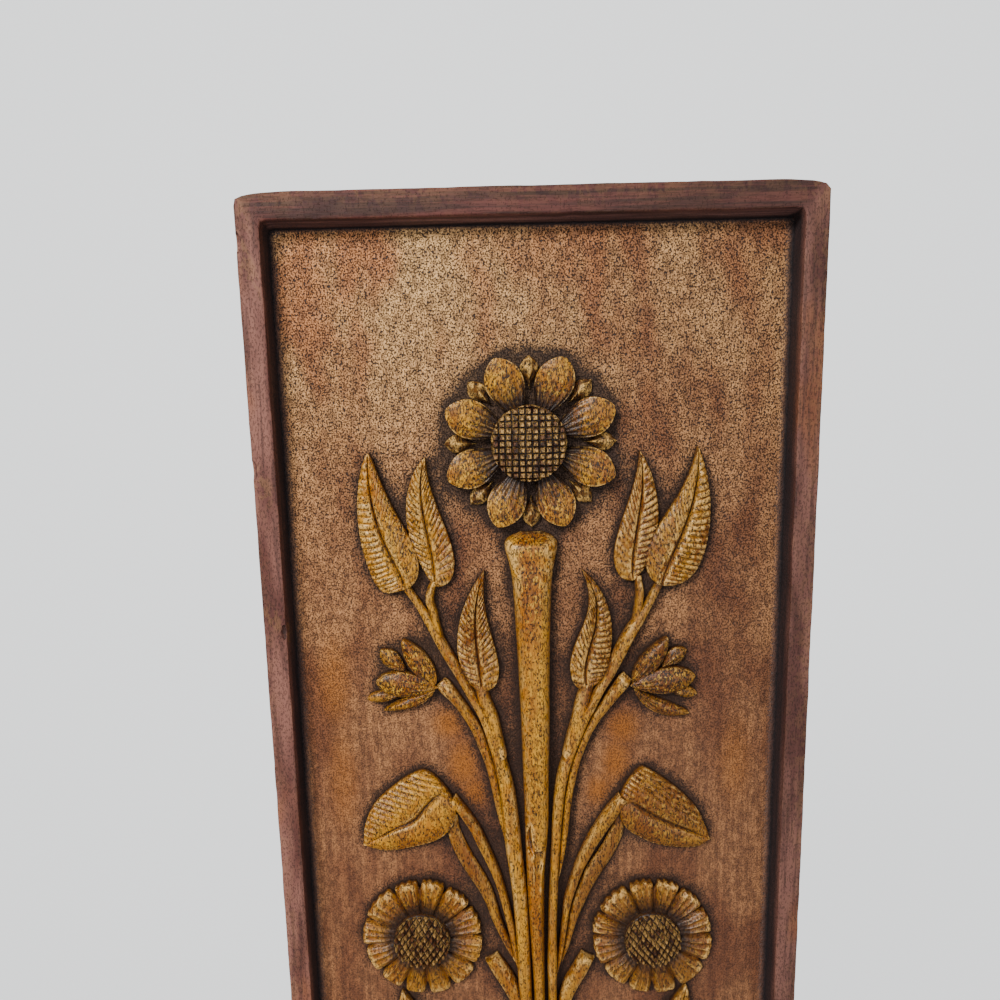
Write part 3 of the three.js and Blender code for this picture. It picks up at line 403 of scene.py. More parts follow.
def sunflower_petal(angle):
    s = SUNFLOWER
    plan = ray_plan(s["centre"], angle, s["start"], s["tip"], s["half"], s["widest"], s["fullness"])

    def height(share, side, along):
        rise = 0.58 + 0.42 * np.sin(np.pi * np.minimum(share / 1.25, 1) ** 1.35)
        round_over = 1 - 0.3 * side ** 2 * np.sin(np.pi * share)
        groove = 1 - np.abs(np.sin(np.pi * (side * 2.6 + 0.5))) ** 0.8
        fade = step(0.8, 0.42, share) * (np.abs(side) < 0.97)
        return s["petal_lift"] * rise * round_over - 1.2 * groove * fade

    shares = np.concatenate([np.linspace(0, 0.9, 22)[:-1], 1 - 0.1 * (1 - np.linspace(0, 1, 7)) ** 1.6])
    return blade(plan, shares, np.linspace(-1, 1, 27), height)


def sepal(angle):
    s = SUNFLOWER
    plan = ray_plan(s["centre"], angle, s["sepal_start"], s["sepal_tip"], s["sepal_half"], 0.64, 1.0)

    def height(share, side, along):
        crest = np.where(share < 0.68, 0.45 + 0.55 * share / 0.68, 1 - 0.5 * (share - 0.68) / 0.32)
        return s["sepal_lift"] * (crest - 0.55 * np.abs(side) * crest)

    return blade(plan, np.linspace(0, 1, 13), np.linspace(-1, 1, 9), height)


def stem(rows, spacing=3.2, facet=0.0):
    """A stem along rows of (right, down, width, lift). facet flattens its top, as on the main stem."""
    rows = np.asarray(rows, float)
    length = np.hypot(*np.diff(rows[:, :2], axis=0).T).sum()
    shares = np.linspace(0, 1, max(int(length / spacing), 6) + 1)
    return tube([stem_ring(rows, share, facet) for share in shares])


def stem_ring(rows, share, facet):
    nudge = 0.004
    across, down, width, lift = through(rows, np.array([share]))[0]
    before, after = (place(*through(rows, np.array([np.clip(share + k, 0, 1)]))[0, :2])
                     for k in (-nudge, nudge))
    ahead = (after - before) / np.linalg.norm(after - before)
    section = MAIN_SECTION if facet else STEM_SECTION
    side = section[:, 0] * width / 2
    height = np.where(section[:, 1] < 0, ROOT, section[:, 1] * lift)
    spot = place(across, down) + np.stack([ahead[1] * side, -ahead[0] * side], -1)
    return np.concatenate([spot, height[:, None]], 1)


def arch(count, fullness):
    turn = np.linspace(-1, 1, count)
    rise = 0.5 + 0.5 * np.maximum(1 - np.abs(turn) ** fullness, 0) ** (1 / fullness)
    return np.stack([turn * 0.95, rise], 1)


STEM_SECTION = np.vstack([[(-1, -1), (-0.985, 0.22)], arch(9, 2.2), [(0.985, 0.22), (1, -1)]])
MAIN_SECTION = np.array([
    (-1, -1), (-0.99, 0.25), (-0.97, 0.46), (-0.86, 0.7), (-0.7, 0.86), (-0.52, 0.955), (-0.44, 0.975),
    (-0.2, 0.99),
    (0.05, 1), (0.3, 0.985), (0.5, 0.965), (0.6, 0.94), (0.76, 0.84), (0.9, 0.66), (0.97, 0.44), (0.99, 0.22),
    (1, -1),
])


def strand_cutter(rows):
    """A tapering cutter whose floor lies below the main stem's top, for the overlapping strands."""
    above = STEM_TOP + 1
    rings = []
    for share in np.linspace(0, 1, 13):
        across, down, width, depth = through(rows, np.array([share]))[0]
        x, y = place(across, down)
        floor = STEM_TOP - depth
        half = width / 2
        rings.append([(x - half, y, above), (x - half * 0.75, y, floor + depth * 0.25),
                      (x - half * 0.4, y, floor),
                      (x + half * 0.4, y, floor), (x + half * 0.75, y, floor + depth * 0.25),
                      (x + half, y, above)])
    return tube(rings)


def disc_drum(centre, radius, lift, dome):
    """The smooth domed disc under a flower's seeds."""
    middle = place(*centre)
    turn = np.linspace(0, 2 * math.pi, 72, endpoint=False)
    rings = []
    for out, height in [(1, ROOT), (1, 2), (0.995, lift - dome - 1.2), (0.97, lift - dome - 0.4), (0.9, None),
                        (0.7, None), (0.45, None), (0.2, None)]:
        level = lift - dome * out ** 2 if height is None else height
        rings.append([(middle[0] + radius * out * math.sin(a), middle[1] + radius * out * math.cos(a), level)
                      for a in turn])
    return tube(rings)


def daisy_petals(spec):
    """The ring of fluted petals around a daisy's disc."""
    middle = place(*spec["centre"])
    cuts = spec["cuts"]
    turns, rims, tops, cut_depths, flute_depths = [], [], [], [], []
    for k, cut in enumerate(cuts):
        following = cuts[k + 1] if k + 1 < len(cuts) else cuts[0] + 360
        flutes = DAISY["flutes"]
        for phase in np.arange(0, flutes, 1 / 6):
            u = phase / flutes
            flute = 1 - np.abs(np.sin(np.pi * phase)) ** 0.9
            from_cut = min(u, 1 - u) * (following - cut)
            cutting = math.exp(-(from_cut / DAISY["notch"]) ** 2)
            ripple = 0.022 * math.sin(5.1 * k + 2.3) - 0.01 * math.cos(np.pi * phase * 2)
            turns.append(math.radians(cut + (following - cut) * u))
            rims.append(DAISY["rim"] * (0.978 + ripple - 0.1 * cutting - 0.03 * (2 * u - 1) ** 4))
            tops.append(0)
            cut_depths.append(cutting)
            flute_depths.append(1 - flute)
    turns, rims, cutting, hollow = (np.array(v) for v in (turns, rims, cut_depths, flute_depths))
    rings = []
    for share in np.array([0.0, 0.25, 0.45, 0.55, 0.68, 0.8, 0.9, 0.965, 1.0]):
        out = rims * share
        body = 0.86 + 0.14 * np.sin(np.pi * np.clip(share - 0.2, 0, 1) ** 0.9)
        level = (DAISY["lift"] * body - 1.05 * hollow * step(0.42, 0.75, share)
                 - 3.6 * cutting * step(0.4, 0.7, share))
        level = level - 0.5 * (share == 1.0) - 1.6 * math.exp(-((share - 0.5) / 0.09) ** 2)
        rings.append(np.stack([middle[0] + np.sin(turns) * out, middle[1] + np.cos(turns) * out, level], -1))
    edge = rings[-1][:, 2]
    for stand, level in ((1.004, edge * 0.85), (1.006, edge * 0.4), (1.01, np.full(len(edge), ROOT))):
        out = rims * stand
        rings.append(np.stack([middle[0] + np.sin(turns) * out, middle[1] + np.cos(turns) * out, level], -1))
    rings.append(np.tile([middle[0], middle[1], ROOT], (len(turns), 1)))
    rows = np.array(rings)
    return solid(rows.reshape(-1, 3), grid_faces(rows.shape[0], rows.shape[1], wrap=True))


def waves(x, y, seed, size, octaves=3):
    """Smooth unevenness from -1 to 1, as a hand tool leaves it: a sum of turned sine waves."""
    random = np.random.default_rng(seed)
    total = np.zeros(np.broadcast(x, y).shape)
    weight = 0.0
    for octave in range(octaves):
        for _ in range(5):
            turn, shift = random.uniform(0, 2 * math.pi, 2)
            scale = 2 * math.pi / (size * random.uniform(0.7, 1.4) / 1.8 ** octave)
            total += np.sin((x * math.cos(turn) + y * math.sin(turn)) * scale + shift) / 1.6 ** octave
            weight += 1 / 1.6 ** octave
    return total / weight * 1.8


def rounded_ring(width, height, run, drop, squareness, z, spacing):
    """Corners round a rectangle whose corners are quarters of an ellipse, squarer for a squareness above 2."""
    corner = 16

    def bent(values):
        return np.sign(values) * np.abs(values) ** (2 / squareness)

    sides = [max(int((width - 2 * run) / spacing), 2), max(int((height - 2 * drop) / spacing), 2)]
    ring = []
    for quarter, (right, up) in enumerate([(1, 1), (-1, 1), (-1, -1), (1, -1)]):
        turn = (quarter + np.linspace(0, 1, corner + 1)) * math.pi / 2
        ring.append(np.stack([right * (width / 2 - run) + bent(np.cos(turn)) * run,
                              up * (height / 2 - drop) + bent(np.sin(turn)) * drop], 1))
        following = [(-1, 1), (-1, -1), (1, -1), (1, 1)][quarter]
        end = (quarter + 1) * math.pi / 2
        start = ring[-1][-1]
        finish = np.array([following[0] * (width / 2 - run) + bent(math.cos(end)) * run,
                           following[1] * (height / 2 - drop) + bent(math.sin(end)) * drop])
        along = np.linspace(0, 1, sides[quarter % 2] + 1)[1:-1, None]
        ring.append(start + (finish - start) * along)
    ring = np.vstack(ring)
    return np.concatenate([ring, np.full((len(ring), 1), z)], 1)


CORNER_RUN = 45.0
CORNER_DROP = 5.0
CORNER_SQUARENESS = 3.0
FIELD_CORNER = 3.0
BORDER_SPACING = 4.0


def plank():
    """The plank with its border, down to a pocket just under the ground."""
    back, face = -GROUND_THICKNESS, RECESS_DEPTH
    outer = [(1, back), (0.3, back + 0.3), (0, back + 1), (0, -8), (0, 0), (0, 7), (0, face - 1.1),
             (0.3, face - 0.4), (0.9, face)]
    inner = [(2.6, 2.6, face), (0.7, 0.9, face), (0.15, 0.2, face - 0.4), (0, -0.15, face - 1.2),
             (-0.2, -1.2, 7), (-SIDE_DRAFT, -END_DRAFT, 1.5), (-SIDE_DRAFT - 0.4, -END_DRAFT - 0.4, -1.8)]
    rings = [rounded_ring(PANEL_WIDTH - 2 * inset, PANEL_HEIGHT - 2 * inset, CORNER_RUN, CORNER_DROP,
                          CORNER_SQUARENESS, z, BORDER_SPACING)
             for inset, z in outer]
    rings += [rounded_ring(FIELD_WIDTH + 2 * across, FIELD_HEIGHT + 2 * up, FIELD_CORNER, FIELD_CORNER, 2, z,
                           BORDER_SPACING)
              for across, up, z in inner]
    count = max(len(ring) for ring in rings)
    rings = np.array([resample(ring, count) for ring in rings])
    x, y, z = (rings[..., k] for k in range(3))
    # The plane and the chisel leave the edges a little uneven, always inside the true size
    uneven = 0.22 * (1 - waves(x, y, 5, 60)) + 0.1 * (1 - waves(x, y, 6, 14, 2))
    side = np.abs(x) > FIELD_WIDTH / 2 - SIDE_DRAFT - 1
    end = np.abs(y) > FIELD_HEIGHT / 2 - END_DRAFT - 1
    carried = z > back + 0.5
    rings[..., 0] -= np.sign(x) * np.maximum(uneven, 0) * side * carried
    rings[..., 1] -= np.sign(y) * np.maximum(uneven, 0) * end * carried
    planed = 0.1 * (1.2 + waves(x, y, 8, 45) + 0.6 * waves(x, y, 9, 9, 2))
    rings[..., 2] -= np.where(z > face - 0.1, np.maximum(planed, 0.01), 0)
    return tube(rings)


# Chips out of the border's edges, as (right, down, radius)
CHIPS = [(-151.6, 25, 3), (-151.8, 143, 3.2), (-140.6, 234, 2.4)]
CHIP_WIDTH_SHARE = 0.8
CHIP_LENGTH_SHARE = 1.9


def chip(across, down, radius):
    """The ragged hollow a chip leaves in the border's face."""
    x, y = place(across, down)
    rings = []
    for share in np.linspace(-0.97, 0.97, 9):
        width = math.sqrt(1 - share ** 2) * CHIP_WIDTH_SHARE * radius
        ragged = 1 + 0.16 * math.sin(7 * share + down)
        rings.append([(x + math.cos(a) * width * ragged, y + share * CHIP_LENGTH_SHARE * radius,
                       RECESS_DEPTH + math.sin(a) * width)
                      for a in np.linspace(0, 2 * math.pi, 10, endpoint=False)])
    return tube(rings)


def resample(ring, count):
    closed = np.vstack([ring, ring[:1]])
    travelled = np.concatenate([[0], np.cumsum(np.linalg.norm(np.diff(closed, axis=0), axis=1))])
    at = np.linspace(0, travelled[-1], count, endpoint=False)
    return np.stack([np.interp(at, travelled, closed[:, k]) for k in range(3)], 1)


GROUND_SPACING = 3.6
GROUND_FLOOR = -9.0


def ground():
    """The sunk field: tool marks leave it gently uneven, and it is a little lower along the border."""
    half_width = FIELD_WIDTH / 2 + 3
    half_height = FIELD_HEIGHT / 2 + 3
    xs = np.linspace(-half_width, half_width, int(2 * half_width / GROUND_SPACING) + 1)
    ys = np.linspace(-half_height, half_height, int(2 * half_height / GROUND_SPACING) + 1)
    y, x = np.meshgrid(ys, xs, indexing="ij")
    level = 0.32 * waves(x, y, 11, 42) + 0.16 * waves(x, y * 0.6, 12, 13)
    to_edge = np.minimum(FIELD_WIDTH / 2 - np.abs(x), FIELD_HEIGHT / 2 - END_DRAFT - np.abs(y))
    level = level - 0.5 * np.exp(-(np.maximum(to_edge, 0) / 5) ** 2)
    top = np.stack([x, y, level], -1)
    rows, columns = x.shape
    rim = np.concatenate([np.arange(columns), np.arange(1, rows) * columns + columns - 1,
                          (rows - 1) * columns + np.arange(columns - 2, -1, -1),
                          np.arange(rows - 2, 0, -1) * columns])
    corners = top.reshape(-1, 3)
    low_rim = corners[rim] * [1, 1, 0] + [0, 0, GROUND_FLOOR]
    count = len(corners)
    k = np.arange(len(rim))
    following = np.roll(k, -1)
    wall = np.stack([rim, count + k, count + following, rim[following]], 1)
    hub = np.full(len(rim), count + len(rim))
    fan = np.stack([hub, hub, count + following, count + k], 1)
    return solid(np.vstack([corners, low_rim, [[0, 0, GROUND_FLOOR]]]),
                 np.vstack([grid_faces(rows, columns), wall, fan]))


# Blender objects

def to_room(corners):
    """Carving millimetres to the model's metres: the back at Y = 0 and the front toward -Y."""
    return np.stack([corners[:, 0], -(corners[:, 2] + GROUND_THICKNESS), corners[:, 1]], 1) * MM


def make(name, mesh_data):
    corners, faces = mesh_data
    mesh = bpy.data.meshes.new(name)
    mesh.from_pydata(to_room(corners).tolist(), [], faces.tolist())
    mesh.update()
    piece = bpy.data.objects.new(name, mesh)
    bpy.context.collection.objects.link(piece)
    return piece


def combined(target, other, operation="UNION"):
    """The target joined to the other solid or cut by it, as a plain mesh; the other is removed."""
    cut = target.modifiers.new("joining", "BOOLEAN")
    cut.operation = operation
    cut.solver = "MANIFOLD"
    cut.object = other
    graph = bpy.context.evaluated_depsgraph_get()
    mesh = bpy.data.meshes.new_from_object(target.evaluated_get(graph))
    target.modifiers.clear()
    old = target.data
    target.data = mesh
    bpy.data.meshes.remove(old)
    bpy.data.objects.remove(other)
    return target


def union(pieces):
    """All pieces joined in pairs, so that the meshes stay small for as long as possible."""
    while len(pieces) > 1:
        joined = [combined(a, b) for a, b in zip(pieces[::2], pieces[1::2])]
        pieces = joined + ([pieces[-1]] if len(pieces) % 2 else [])
    return pieces[0]


# Node trees

class Value:
    """A node's output with arithmetic, so that sums and masks read as plain expressions."""

    def __init__(self, nodes, socket):
        self.nodes = nodes
        self.socket = socket

    def math(self, operation, *others):
        return self.nodes.math(operation, self, *others)

    def __add__(self, other):
        return self.math("ADD", other)

    def __sub__(self, other):
        return self.math("SUBTRACT", other)

    def __rsub__(self, other):
        return self.nodes.math("SUBTRACT", other, self)

    def __mul__(self, other):
        return self.math("MULTIPLY", other)

    def __truediv__(self, other):
        return self.math("DIVIDE", other)

    def __pow__(self, other):
        return self.math("POWER", other)

    __radd__ = __add__
    __rmul__ = __mul__

    def rise(self, low, high):
        """0 below low, 1 above high, and smooth between them; low may be the higher one."""
        return self.nodes.node("ShaderNodeMapRange", {"interpolation_type": "SMOOTHSTEP"},
                               {"Value": self, "From Min": low, "From Max": high})


class Nodes:
    """Builds a node tree, for a material or for Geometry Nodes."""

    def __init__(self, tree):
        self.tree = tree

    def node(self, kind, settings=None, sockets=None, output=0):
        node = self.tree.nodes.new(kind)
        for name, value in (settings or {}).items():
            setattr(node, name, value)
        for name, value in (sockets or {}).items():
            if isinstance(value, Value):
                self.tree.links.new(value.socket, node.inputs[name])
            else:
                node.inputs[name].default_value = value
        return Value(self, node.outputs[output]) if len(node.outputs) else node

    def math(self, operation, *values):
        return self.node("ShaderNodeMath", {"operation": operation}, dict(enumerate(values)))

    def vector(self, operation, a, b=None, scale=None, output=0):
        sockets = {0: a}
        if b is not None:
            sockets[1] = b
        if scale is not None:
            sockets["Scale"] = scale
        return self.node("ShaderNodeVectorMath", {"operation": operation}, sockets, output)


# Geometry Nodes for the raised cells of the flower discs

class SeedTree:
    """Raised cells on the lattice of two steps, over a dome, within a radius."""

    SIZES = {
        "Cells": "NodeSocketInt", "Step A": "NodeSocketVector", "Step B": "NodeSocketVector",
        "Cell": "NodeSocketVector", "Middle": "NodeSocketVector", "Radius": "NodeSocketFloat",
        "Lift": "NodeSocketFloat", "Dome": "NodeSocketFloat", "Lean": "NodeSocketFloat",
        "Top": "NodeSocketFloat",
    }

    def __init__(self, finish):
        tree = bpy.data.node_groups.new("raised seeds", "GeometryNodeTree")
        n = Nodes(tree)
        self.tree = tree
        self.identifiers = {}
        for name, kind in self.SIZES.items():
            socket = tree.interface.new_socket(name, in_out="INPUT", socket_type=kind)
            self.identifiers[name] = socket.identifier
        tree.interface.new_socket("Geometry", in_out="OUTPUT", socket_type="NodeSocketGeometry")
        taken = tree.nodes.new("NodeGroupInput").outputs
        size = {name: Value(n, taken[name]) for name in self.SIZES}
        count = size["Cells"]
        lattice = n.node("GeometryNodeMeshGrid", None,
                         {"Size X": 1.0, "Size Y": 1.0, "Vertices X": count, "Vertices Y": count})
        place_on_grid = n.vector("SCALE", n.node("GeometryNodeInputPosition"), scale=count - 1)
        steps_a = n.node("ShaderNodeSeparateXYZ", None, {0: place_on_grid}, "X")
        steps_b = n.node("ShaderNodeSeparateXYZ", None, {0: place_on_grid}, "Y")
        flat = n.vector("ADD", n.vector("SCALE", size["Step A"], scale=steps_a),
                        n.vector("SCALE", size["Step B"], scale=steps_b))
        out = n.vector("LENGTH", flat, output="Value") / size["Radius"]
        level = size["Lift"] - out ** 2 * size["Dome"]
        domed = n.vector("ADD", flat, n.node("ShaderNodeCombineXYZ", None, {"Z": level}))
        outside = n.node("FunctionNodeCompare", {"data_type": "FLOAT", "operation": "GREATER_THAN"},
                         {0: out, 1: SEED_REACH})
        held = n.node("GeometryNodeDeleteGeometry", {"domain": "POINT"},
                      {"Geometry": lattice, "Selection": outside})
        kept = n.node("GeometryNodeSetPosition", None, {"Geometry": held, "Position": domed})
        block = n.node("GeometryNodeMeshCone", None,
                       {"Vertices": 4, "Radius Top": size["Top"], "Radius Bottom": 1.0, "Depth": 1.0})
        seed = n.node("GeometryNodeTransform", None, {"Geometry": block, "Scale": size["Cell"]})
        spin = n.node("FunctionNodeRandomValue", {"data_type": "FLOAT"},
                      {2: -SEED_SPIN, 3: SEED_SPIN, "Seed": 3}, 1)
        growth = n.node("FunctionNodeRandomValue", {"data_type": "FLOAT"}, {2: 0.88, 3: 1.06, "Seed": 7}, 1)
        turn = n.node("ShaderNodeCombineXYZ", None, {"Z": size["Lean"] + spin})
        seeds_laid = n.node("GeometryNodeInstanceOnPoints", None,
                            {"Points": kept, "Instance": seed, "Rotation": turn, "Scale": growth})
        moved = n.node("GeometryNodeTransform", None, {"Geometry": seeds_laid, "Translation": size["Middle"]})
        real = n.node("GeometryNodeRealizeInstances", None, {"Geometry": moved})
        n.node("NodeGroupOutput", None,
               {"Geometry": n.node("GeometryNodeSetMaterial", None, {"Geometry": real, "Material": finish})})

    def grow(self, **values):
        """The cells as corners and triangles, in carving millimetres."""
        carrier = bpy.data.objects.new("seeds", bpy.data.meshes.new("seeds"))
        bpy.context.collection.objects.link(carrier)
        modifier = carrier.modifiers.new("seeds", "NODES")
        modifier.node_group = self.tree
        for name, value in values.items():
            modifier[self.identifiers[name.replace("_", " ")]] = value
        mesh = bpy.data.meshes.new_from_object(carrier.evaluated_get(bpy.context.evaluated_depsgraph_get()))
        corners = np.zeros(len(mesh.vertices) * 3)
        mesh.vertices.foreach_get("co", corners)
        mesh.calc_loop_triangles()
        faces = np.zeros(len(mesh.loop_triangles) * 3, int)
        mesh.loop_triangles.foreach_get("vertices", faces)
        bpy.data.objects.remove(carrier)
        bpy.data.meshes.remove(mesh)
        return corners.reshape(-1, 3), faces.reshape(-1, 3)


SEED_REACH = 1.1
SEED_SPIN = 0.07


def seed_cells(tree, centre, radius, lift, dome, steps, cell, lean, top):
    finest = min(math.hypot(*step) for step in steps)
    return tree.grow(
        Cells=2 * int(radius * 2.2 / finest) + 1, Step_A=(*steps[0], 0.0), Step_B=(*steps[1], 0.0), Cell=cell,
        Middle=(*place(*centre), 0.0), Radius=float(radius), Lift=float(lift), Dome=float(dome),
        Lean=math.radians(lean),
        Top=float(top),
    )


def seed_bed(tree, centre, radius, *sizes):
    """The cells of one disc, cut off round its rim."""
    turn = np.linspace(0, 2 * math.pi, 48, endpoint=False)
    middle = place(*centre)
    rim = radius * SEED_RIM
    ring = np.stack([middle[0] + rim * np.cos(turn), middle[1] + rim * np.sin(turn), turn * 0], 1)
    cutter = make("rim", tube([ring + [0, 0, level] for level in (1.0, PANEL_THICKNESS)]))
    return combined(make("seeds", seed_cells(tree, centre, radius, *sizes)), cutter, "INTERSECT")


SEED_RIM = 0.985


def turned(steps, lean):
    c, s = math.cos(math.radians(lean)), math.sin(math.radians(lean))
    return [(x * c - y * s, x * s + y * c) for x, y in steps]


# How far the smooth disc and the seeds' feet lie under a disc's full height
DRUM_DROP = 0.9
SEED_DROP = 0.8


def carve(tree):
    s = SUNFLOWER
    rays = [k * 360 / s["petals"] for k in range(s["petals"])]
    pitch = s["pitch"]
    parts = [sepal(a) for a in rays]
    parts += [sunflower_petal(a + s["first"]) for a in rays]
    parts.append(disc_drum(s["disc_centre"], s["disc"], s["disc_lift"] - DRUM_DROP, s["dome"]))
    beds = [seed_bed(tree, s["disc_centre"], s["disc"], s["disc_lift"] - SEED_DROP, s["dome"],
                     [(pitch[0], 0), (0, pitch[1])], (2.35, 2.25, 2.2), 45, 0.62)]
    for flower in DAISIES:
        wide, tall = DAISY["diamond"]
        parts.append(daisy_petals(flower))
        parts.append(disc_drum(flower["disc"], DAISY["disc"], DAISY["disc_lift"] - DRUM_DROP, DAISY["dome"]))
        diamonds = turned([(wide / 2, tall / 2), (-wide / 2, tall / 2)], -flower["lean"])
        beds.append(seed_bed(tree, flower["disc"], DAISY["disc"], DAISY["disc_lift"] - SEED_DROP,
                             DAISY["dome"],
                             diamonds, (1.8, 3.0, 2.2), -flower["lean"], 0.4))
    parts += [veined_leaf(leaf) for leaf in LEAVES]
    parts += [heart_leaf(leaf) for leaf in HEART_LEAVES]
    parts += [bud_petal(petal) for petal in BUD_PETALS]
    parts += [stem(rows) for rows in STEMS]
    parts.append(stem(TIE, 1.6))
    main = combined(make("main stem", stem(MAIN_STEM, 3.0, 1)), make("strand", strand_cutter(STRAND_CUT)),
                    "DIFFERENCE")
    main = combined(main, make("pocket", strand_cutter(STRAND_POCKET)), "DIFFERENCE")
    reliefs = [make("relief", part) for part in parts] + beds + [main]
    board = combined(make("board", plank()), make("field", ground()))
    for across, down, radius in CHIPS:
        board = combined(board, make("chip", chip(across, down, radius)), "DIFFERENCE")
    return combined(board, union(reliefs))


# What the surface is like, corner by corner

def gaussian(values, spread):
    reach = int(spread * 3)
    weights = np.exp(-0.5 * (np.arange(-reach, reach + 1) / spread) ** 2)
    weights /= weights.sum()
    for axis in (0, 1):
        padded = np.pad(values, [(reach, reach) if k == axis else (0, 0) for k in (0, 1)], mode="edge")
        values = sum(w * np.take(padded, np.arange(values.shape[axis]) + k, axis) for k,
                     w in enumerate(weights))
    return values


RAY_START = -0.1


def height_map(piece):
    """The carving's height on a grid of whole millimetres, from rays cast straight at the panel."""
    tree = BVHTree.FromObject(piece, bpy.context.evaluated_depsgraph_get())
    xs = np.arange(-int(PANEL_WIDTH / 2) + 1, int(PANEL_WIDTH / 2))
    ys = np.arange(-int(PANEL_HEIGHT / 2) + 1, int(PANEL_HEIGHT / 2))
    heights = np.zeros((len(ys), len(xs)))
    ahead = Vector((0, 1, 0))
    for j, y in enumerate(ys):
        for i, x in enumerate(xs):
            hit = tree.ray_cast(Vector((x * MM, RAY_START, y * MM)), ahead)[0]
            heights[j, i] = -hit.y / MM - GROUND_THICKNESS if hit else 0
    return xs, ys, heights


def look_up(grid, xs, ys, x, y):
    """Values of a grid of whole millimetres at places, blended between its points."""
    u = np.clip(x - xs[0], 0, len(xs) - 1.001)
    v = np.clip(y - ys[0], 0, len(ys) - 1.001)
    i, j = u.astype(int), v.astype(int)
    f, g = u - i, v - j
    return ((grid[j, i] * (1 - f) + grid[j, i + 1] * f) * (1 - g)
            + (grid[j + 1, i] * (1 - f) + grid[j + 1, i + 1] * f) * g)


def bulge(mesh, corners, normals):
    """How far each corner stands out of its neighbours' middle: ridges above 0 and grooves below."""
    edges = np.zeros(len(mesh.edges) * 2, int)
    mesh.edges.foreach_get("vertices", edges)
    a, b = edges.reshape(-1, 2).T
    count = np.bincount(a, minlength=len(corners)) + np.bincount(b, minlength=len(corners))
    total = np.zeros_like(corners)
    length = np.zeros(len(corners))
    span = np.linalg.norm(corners[a] - corners[b], axis=1)
    for one, other in ((a, b), (b, a)):
        np.add.at(total, one, corners[other])
        np.add.at(length, one, span)
    count = np.maximum(count, 1)
    out = ((corners - total / count[:, None]) * normals).sum(1) / np.maximum(length / count, 1e-6)
    for _ in range(2):
        around = np.zeros(len(corners))
        np.add.at(around, a, out[b])
        np.add.at(around, b, out[a])
        out = 0.5 * out + 0.5 * around / count
    return out


def spots(x, y, places):
    """Soft oval spots of (right, down, half width, half height, strength)."""
    total = np.zeros(len(x))
    for across, down, wide, high, strength in places:
        centre = place(across, down)
        reach = ((x - centre[0]) / wide) ** 2 + ((y - centre[1]) / high) ** 2
        total = np.maximum(total, strength * np.exp(-reach ** 1.5))
    return total


# Where the ground shows golden between the stems
GOLDEN_PATCHES = [
    (-52, 296, 9, 9, 1), (-44, 322, 9, 15, 1), (-38, 340, 8, 9, 1), (50, 300, 9, 10, 1), (46, 322, 8, 14, 1),
    (36, 340, 7, 10, 1),
    (-118, 268, 9, 26, 0.7), (-116, 330, 8, 30, 0.5), (116, 322, 9, 26, 0.5),
]

# Where the finish has aged darker on the carving
AGED_PARTS = [
    (-71.6, 433, 42, 42, 0.75), (68, 434.5, 42, 42, 0.85), (76, 351, 32, 28, 0.9), (-33, 240, 14, 40, 0.85),
    (33, 240, 15, 40, 0.85),
    (72, 265, 24, 24, 0.8), (-78, 265, 24, 24, 0.5), (92, 172, 22, 40, 0.35), (58, 172, 15, 36, 0.6),
    (-60, 172, 14, 36, 0.3),
    (-1.8, 158, 34, 26, 0.4), (-40, 400, 16, 40, 0.5), (34, 400, 16, 40, 0.6), (-28, 460, 14, 18, 0.4),
    (28, 460, 14, 18, 0.4),
]


# Where the finish is flecked all over with open pores
PITTED_PARTS = [
    (-1.8, 132, 56, 56, 1), (-78, 265, 27, 27, 1), (72, 265, 27, 27, 1), (-78, 180, 24, 44, 0.6),
    (78, 180, 24, 44, 0.6),
    (-33, 240, 14, 40, 0.5), (33, 240, 15, 40, 0.5), (-2, 200, 18, 40, 0.6), (-78, 350, 32, 28, 0.3),
    (76, 351, 32, 28, 0.3),
    (-71.6, 433, 42, 42, 0.3), (68, 434.5, 42, 42, 0.4), (0, 320, 40, 90, 0.25),
]


# The dark ring on the ground round the sunflower, past its petals' tips and under them: painted shade under
# the petals and a dark stain round them
HALO_REACH = 13
HALO_OVERLAP = 4

# How far from the border everything belongs to the field, whatever its height
FIELD_MARGIN = 6


